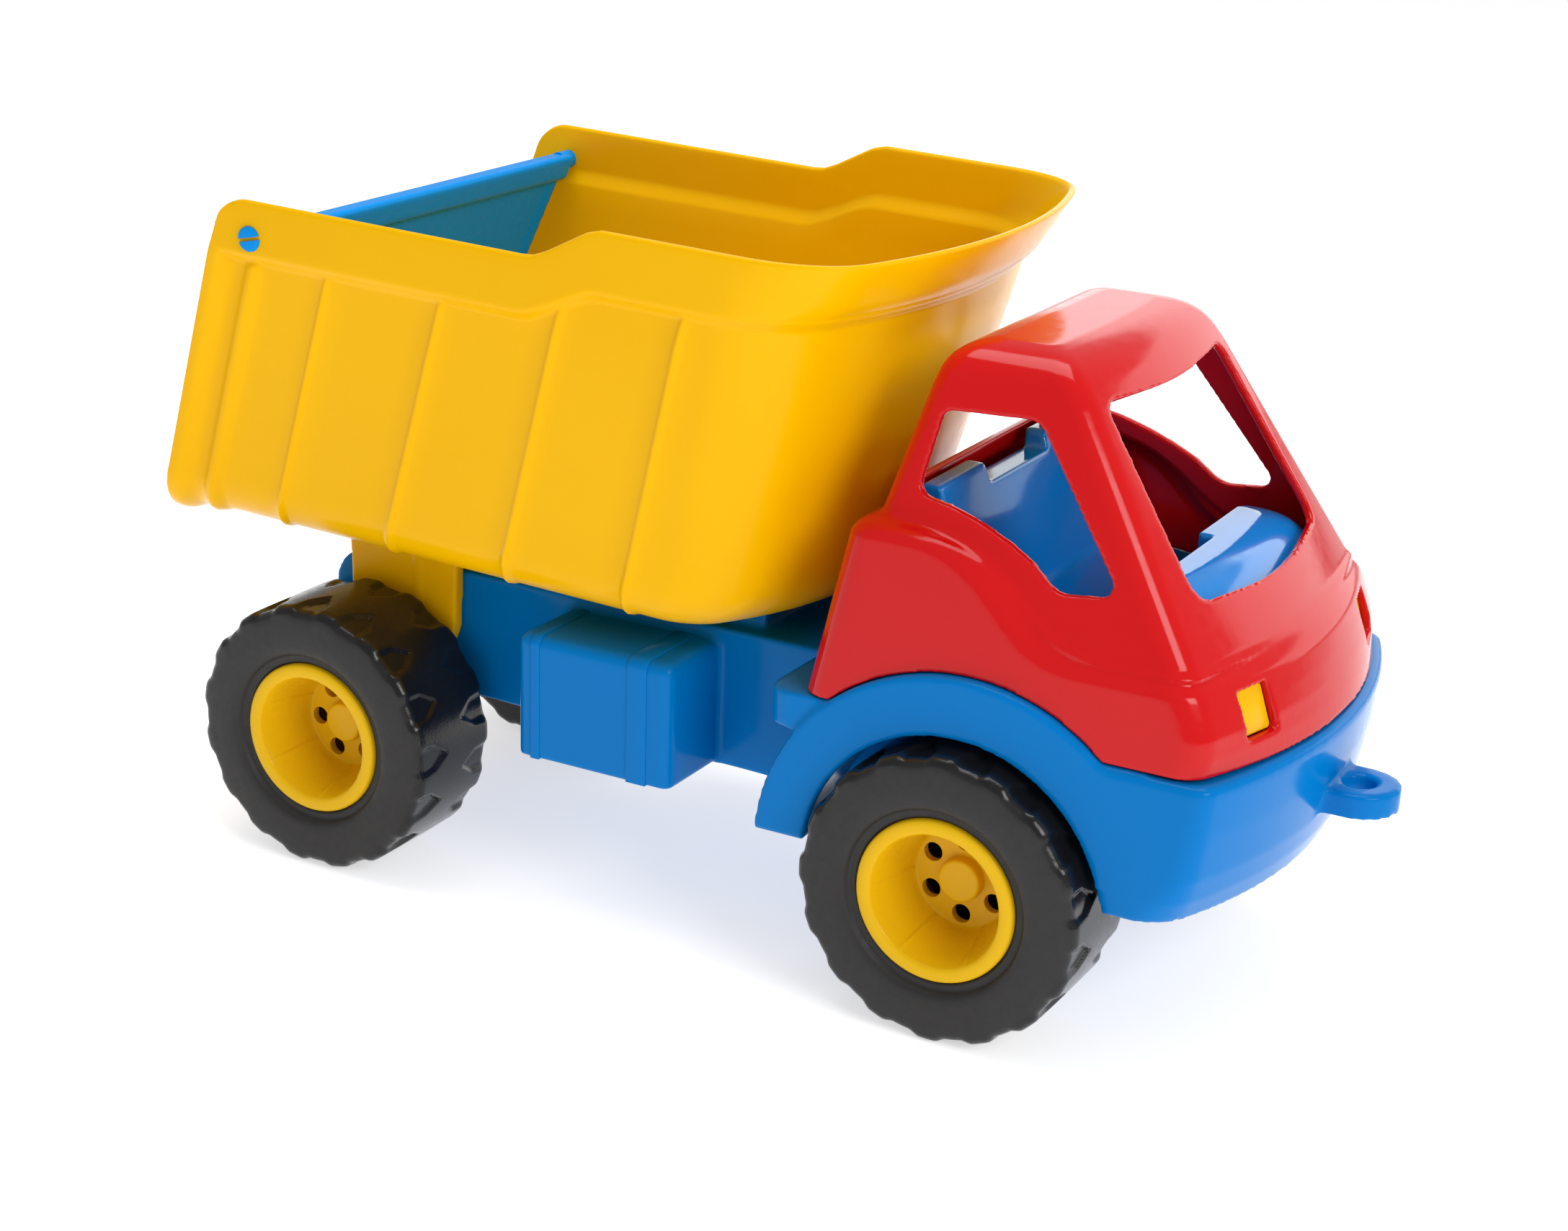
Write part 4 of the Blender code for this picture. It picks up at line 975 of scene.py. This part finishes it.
def rim_profile():
    deep = RIM_OUT - HUB_DEPTH
    cone = [(15.6 + 4.9 * k / 12, deep - 2.2 + (HUB_DEPTH - 0.2) * k / 12) for k in range(13)]
    profile = [(0.0, deep + 1.0), (5.7, deep + 1.0)] + arc_points(5.7, deep, 1.0, 90, 0, 5)
    profile += [(HUB_R, deep - 2.6), (14.6, deep - 2.6), (15.2, deep - 2.5)] + cone[:-2]
    profile += [(20.6, RIM_OUT - 0.9), (21.0, RIM_OUT - 0.3), (21.6, RIM_OUT)]
    profile += [(23.0, RIM_OUT + 0.15), (24.4, RIM_OUT)]
    profile += [(25.0, RIM_OUT - 0.4), (RIM_R, RIM_OUT - 1.1), (RIM_R, RIM_IN), (23.4, RIM_IN)]
    profile += [(23.0, RIM_OUT - 4.0), (21.9, RIM_OUT - 4.4), (17.0, deep - 5.2), (6.2, deep - 5.2)]
    return profile + [(6.2, RIM_IN), (AXLE_R, RIM_IN), (AXLE_R, deep - 4.0), (0.0, deep - 4.0)]


def make_wheel(hand, side, rubber, plastic):
    """The tyre and rim meshes of one side, drawn about the origin."""
    tyre = shaded(lathe(f"tyre_{hand}_shape", tyre_profile(), side, LUGS * TREAD_TURNS, tyre_shape), 60.0)
    rim = lathe(f"rim_{hand}_shape", rim_profile(), side, RIM_TURNS, rim_shape)
    deep = RIM_OUT - HUB_DEPTH
    y = sorted((side * (deep - 12), side * (deep + 4)))
    for k in range(RIM_HOLES):
        a = math.radians(90 + 360 * k / RIM_HOLES)
        centre = (RIM_HOLE_RING * math.cos(a), RIM_HOLE_RING * math.sin(a))
        cut(rim, disc(f"rim_{hand}_hole_{k}", centre, RIM_HOLE_R, y))
    shaded(settle(rim), 40.0)
    shapes = {"tyre": tyre.data, "rim": rim.data}
    shapes["tyre"].materials.append(rubber)
    shapes["rim"].materials.clear()
    shapes["rim"].materials.append(plastic)
    bpy.data.objects.remove(tyre)
    bpy.data.objects.remove(rim)
    return shapes


def make_wheels(rubber, plastic):
    for hand, side in (("right", -1), ("left", 1)):
        shapes = make_wheel(hand, side, rubber, plastic)
        for end, x in (("front", FRONT_AXLE_X), ("rear", REAR_AXLE_X)):
            for kind, mesh in shapes.items():
                piece = bpy.data.objects.new(f"{kind}_{end}_{hand}_skin", mesh)
                bpy.context.scene.collection.objects.link(piece)
                piece.location = (x * MM, 0.0, AXLE_Z * MM)
                if end == "rear":
                    piece.rotation_euler.y = math.radians(REAR_TURN)
                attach(piece, f"{end}_wheels")
                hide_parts(f"{kind}_{end}_{hand}")


# ---------------------------------------------------------------- materials
# sockets of the Mix node that carry colours
MIX_COLOUR_A = 6
MIX_COLOUR_B = 7
MIX_COLOUR_OUT = 2


class Paint:
    """Builds one Principled material node by node."""

    def __init__(self, name):
        self.mat = bpy.data.materials.new(name)
        self.mat.use_nodes = True
        self.tree = self.mat.node_tree
        self.shader = self.tree.nodes["Principled BSDF"]
        self.place = self.tree.nodes.new("ShaderNodeTexCoord").outputs["Object"]

    def put(self, socket, value):
        self.shader.inputs[socket].default_value = value

    def link(self, source, target):
        self.tree.links.new(source, target)

    def noise(self, scale, detail=2.0, rough=0.5):
        node = self.tree.nodes.new("ShaderNodeTexNoise")
        node.inputs["Scale"].default_value = scale
        node.inputs["Detail"].default_value = detail
        node.inputs["Roughness"].default_value = rough
        self.link(self.place, node.inputs["Vector"])
        return node.outputs["Fac"]

    def specks(self, scale, size):
        """1 inside rare round specks, 0 elsewhere."""
        node = self.tree.nodes.new("ShaderNodeTexVoronoi")
        node.inputs["Scale"].default_value = scale
        self.link(self.place, node.inputs["Vector"])
        return self.span(node.outputs["Distance"], size, size * 0.5, 0.0, 1.0)

    def span(self, source, low, high, start, end):
        node = self.tree.nodes.new("ShaderNodeMapRange")
        for name, value in (("From Min", low), ("From Max", high), ("To Min", start), ("To Max", end)):
            node.inputs[name].default_value = value
        self.link(source, node.inputs["Value"])
        return node.outputs["Result"]

    def math(self, kind, first, second):
        node = self.tree.nodes.new("ShaderNodeMath")
        node.operation = kind
        for socket, value in zip(node.inputs, (first, second)):
            if isinstance(value, (int, float)):
                socket.default_value = value
            else:
                self.link(value, socket)
        return node.outputs[0]

    def colour(self, share, low, high):
        node = self.tree.nodes.new("ShaderNodeMix")
        node.data_type = "RGBA"
        node.inputs[MIX_COLOUR_A].default_value = (*low, 1)
        node.inputs[MIX_COLOUR_B].default_value = (*high, 1)
        self.link(share, node.inputs["Factor"])
        self.link(node.outputs[MIX_COLOUR_OUT], self.shader.inputs["Base Color"])

    def bump(self, height, strength, distance):
        node = self.tree.nodes.new("ShaderNodeBump")
        node.inputs["Strength"].default_value = strength
        node.inputs["Distance"].default_value = distance
        self.link(height, node.inputs["Height"])
        self.link(node.outputs["Normal"], self.shader.inputs["Normal"])


def plastic(name, low, high, rough, coat=0.0, specular=0.14, grain=1.0):
    """Glossy moulded polypropylene: slight flow clouds, fine skin, rare mould specks, and scuffed gloss."""
    paint = Paint(name)
    clouds = paint.noise(14.0, 3.0)
    fine = paint.noise(2600.0, 2.0)
    waves = paint.noise(55.0, 1.0)
    scuffs = paint.noise(240.0, 4.0, 0.65)
    paint.colour(clouds, low, high)
    polish = paint.span(scuffs, 0.35, 0.75, rough - 0.04, rough + 0.07)
    paint.link(polish, paint.shader.inputs["Roughness"])
    specks = paint.specks(42.0, 0.02)
    skin = paint.math("ADD", paint.math("MULTIPLY", fine, 0.03 * grain), paint.math("MULTIPLY", waves, 0.5))
    paint.bump(paint.math("ADD", skin, paint.math("MULTIPLY", specks, 0.35)), 0.22, 0.0003)
    paint.put("Specular IOR Level", specular)
    paint.put("Coat Weight", coat)
    paint.put("Coat Roughness", 0.08)
    return paint.mat


def rubber_like():
    """Blow-moulded tyre plastic: near black, satin on the walls and worn to a shine on the tread."""
    paint = Paint("tyre_black_moulded")
    apart = paint.tree.nodes.new("ShaderNodeSeparateXYZ")
    paint.link(paint.place, apart.inputs[0])
    x, _, z = apart.outputs
    squares = paint.math("ADD", paint.math("MULTIPLY", x, x), paint.math("MULTIPLY", z, z))
    away = paint.math("POWER", squares, 0.5)
    tread = paint.span(away, 0.0405, 0.0432, 0.0, 1.0)
    clouds = paint.noise(35.0, 3.0)
    shade = paint.math("ADD", paint.math("MULTIPLY", paint.math("SUBTRACT", 1.0, tread), 0.75),
                       paint.math("MULTIPLY", clouds, 0.25))
    paint.colour(shade, (0.006, 0.006, 0.0065), (0.02, 0.019, 0.02))
    scuffs = paint.noise(420.0, 4.0, 0.6)
    worn = paint.span(scuffs, 0.3, 0.7, -0.05, 0.06)
    rough = paint.math("ADD", paint.span(tread, 0.0, 1.0, 0.52, 0.2), worn)
    paint.link(rough, paint.shader.inputs["Roughness"])
    skin = paint.math("MULTIPLY", paint.noise(1500.0, 2.0), 0.5)
    paint.bump(paint.math("ADD", skin, paint.math("MULTIPLY", paint.noise(60.0), 1.2)), 0.3, 0.0003)
    paint.put("Specular IOR Level", 0.35)
    return paint.mat


def steel():
    paint = Paint("axle_steel_drawn")
    paint.colour(paint.noise(160.0, 3.0), (0.42, 0.42, 0.44), (0.6, 0.6, 0.62))
    paint.link(paint.span(paint.noise(900.0), 0.3, 0.7, 0.2, 0.36), paint.shader.inputs["Roughness"])
    paint.bump(paint.noise(1800.0), 0.2, 0.0002)
    paint.put("Metallic", 1.0)
    return paint.mat


def repaint(nodes, mat):
    """A better material on CAD nodes that keep their own shape."""
    for name in nodes:
        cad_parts[name].material_slots[0].material = mat


# ---------------------------------------------------------------- stage
TARGET = Vector((-0.0055, 0.0, 0.0889))
AZIMUTH = math.radians(28.377)
ELEVATION = math.radians(19.499)
ROLL = math.radians(1.966)
DISTANCE = 0.8872
LENS = 62.6
FLOOR_HALF = 30.0
FLOOR_GLOW = 0.57
SKY = 0.46


def make_camera():
    """Looks at the truck from its right front, turned a little about its own axis."""
    level = Vector((math.sin(AZIMUTH), -math.cos(AZIMUTH), 0.0))
    back = level * math.cos(ELEVATION) + Vector((0.0, 0.0, math.sin(ELEVATION)))
    right = Vector((math.cos(AZIMUTH), math.sin(AZIMUTH), 0.0))
    up = back.cross(right)
    across = right * math.cos(ROLL) + up * math.sin(ROLL)
    upward = up * math.cos(ROLL) - right * math.sin(ROLL)
    data = bpy.data.cameras.new("camera")
    data.sensor_width = 36.0
    data.lens = LENS
    data.shift_x = -0.0013
    data.shift_y = -0.0011
    data.clip_start = 0.01
    camera = bpy.data.objects.new("camera", data)
    turned = Matrix((across, upward, back)).transposed().to_4x4()
    camera.matrix_world = Matrix.Translation(TARGET + back * DISTANCE) @ turned
    bpy.context.scene.collection.objects.link(camera)
    bpy.context.scene.camera = camera


def make_floor():
    h = FLOOR_HALF
    mesh = bpy.data.meshes.new("floor")
    mesh.from_pydata([(-h, -h, 0), (h, -h, 0), (h, h, 0), (-h, h, 0)], [], [(0, 1, 2, 3)])
    floor = bpy.data.objects.new("floor", mesh)
    bpy.context.scene.collection.objects.link(floor)
    paint = Paint("floor_white")
    paint.colour(paint.noise(6.0), (0.86, 0.86, 0.87), (0.88, 0.88, 0.88))
    paint.put("Roughness", 0.9)
    paint.put("Specular IOR Level", 0.1)
    paint.put("Emission Color", (1.0, 1.0, 1.0, 1.0))
    paint.put("Emission Strength", FLOOR_GLOW)
    mesh.materials.append(paint.mat)


def softbox(name, place, aim, size, power):
    data = bpy.data.lights.new(name, "AREA")
    data.shape = "RECTANGLE"
    data.size, data.size_y = size
    data.energy = power
    light = bpy.data.objects.new(name, data)
    light.location = place
    light.rotation_euler = (Vector(aim) - Vector(place)).to_track_quat("-Z", "Y").to_euler()
    light.visible_camera = False
    bpy.context.scene.collection.objects.link(light)


def make_light():
    world = bpy.data.worlds.new("studio")
    world.use_nodes = True
    world.node_tree.nodes["Background"].inputs["Color"].default_value = (1.0, 1.0, 1.0, 1.0)
    world.node_tree.nodes["Background"].inputs["Strength"].default_value = SKY
    bpy.context.scene.world = world
    bpy.context.scene.view_settings.view_transform = "Standard"
    softbox("top_box", (-0.1, 0.15, 1.3), (0.0, 0.0, 0.1), (1.0, 0.8), 9.5)
    softbox("front_box", (1.2, -0.6, 0.85), (0.0, 0.0, 0.12), (0.6, 0.6), 8.5)
    softbox("back_box", (0.15, 1.9, 0.62), (0.0, 0.0, 0.2), (2.8, 0.8), 10.5)


make_camera()
make_light()
make_floor()

blue = plastic("chassis_blue_moulded", (0.0, 0.165, 0.5), (0.0, 0.18, 0.54), 0.16, 0.0, 0.09)
yellow = plastic("bed_yellow_moulded", (0.85, 0.44, 0.0), (0.89, 0.48, 0.0), 0.2, 0.0, 0.08)
red = plastic("cab_red_moulded", (0.56, 0.003, 0.005), (0.61, 0.006, 0.007), 0.13, 0.1, 0.2)
gate_blue = plastic("tailgate_blue_moulded", (0.0, 0.26, 0.74), (0.002, 0.28, 0.78), 0.26, 0.0, 0.07)
inside_blue = plastic("interior_blue_moulded", (0.0, 0.21, 0.66), (0.0, 0.23, 0.7), 0.1, 0.35, 0.3)
lamp = plastic("lamp_yellow_moulded", (0.82, 0.45, 0.0), (0.86, 0.5, 0.0), 0.22)
rim_yellow = plastic("rim_yellow_moulded", (0.74, 0.43, 0.003), (0.8, 0.48, 0.006), 0.26)

make_chassis(blue)
make_straps(blue)
make_bed(yellow)
make_tailgate(gate_blue)
make_cab(red)
make_headlights(lamp)
make_seats(inside_blue)
make_dash(inside_blue)
make_wheels(rubber_like(), rim_yellow)
repaint(("pivot_pin_left", "pivot_pin_right"), blue)
repaint(("axle_front", "axle_rear"), steel())
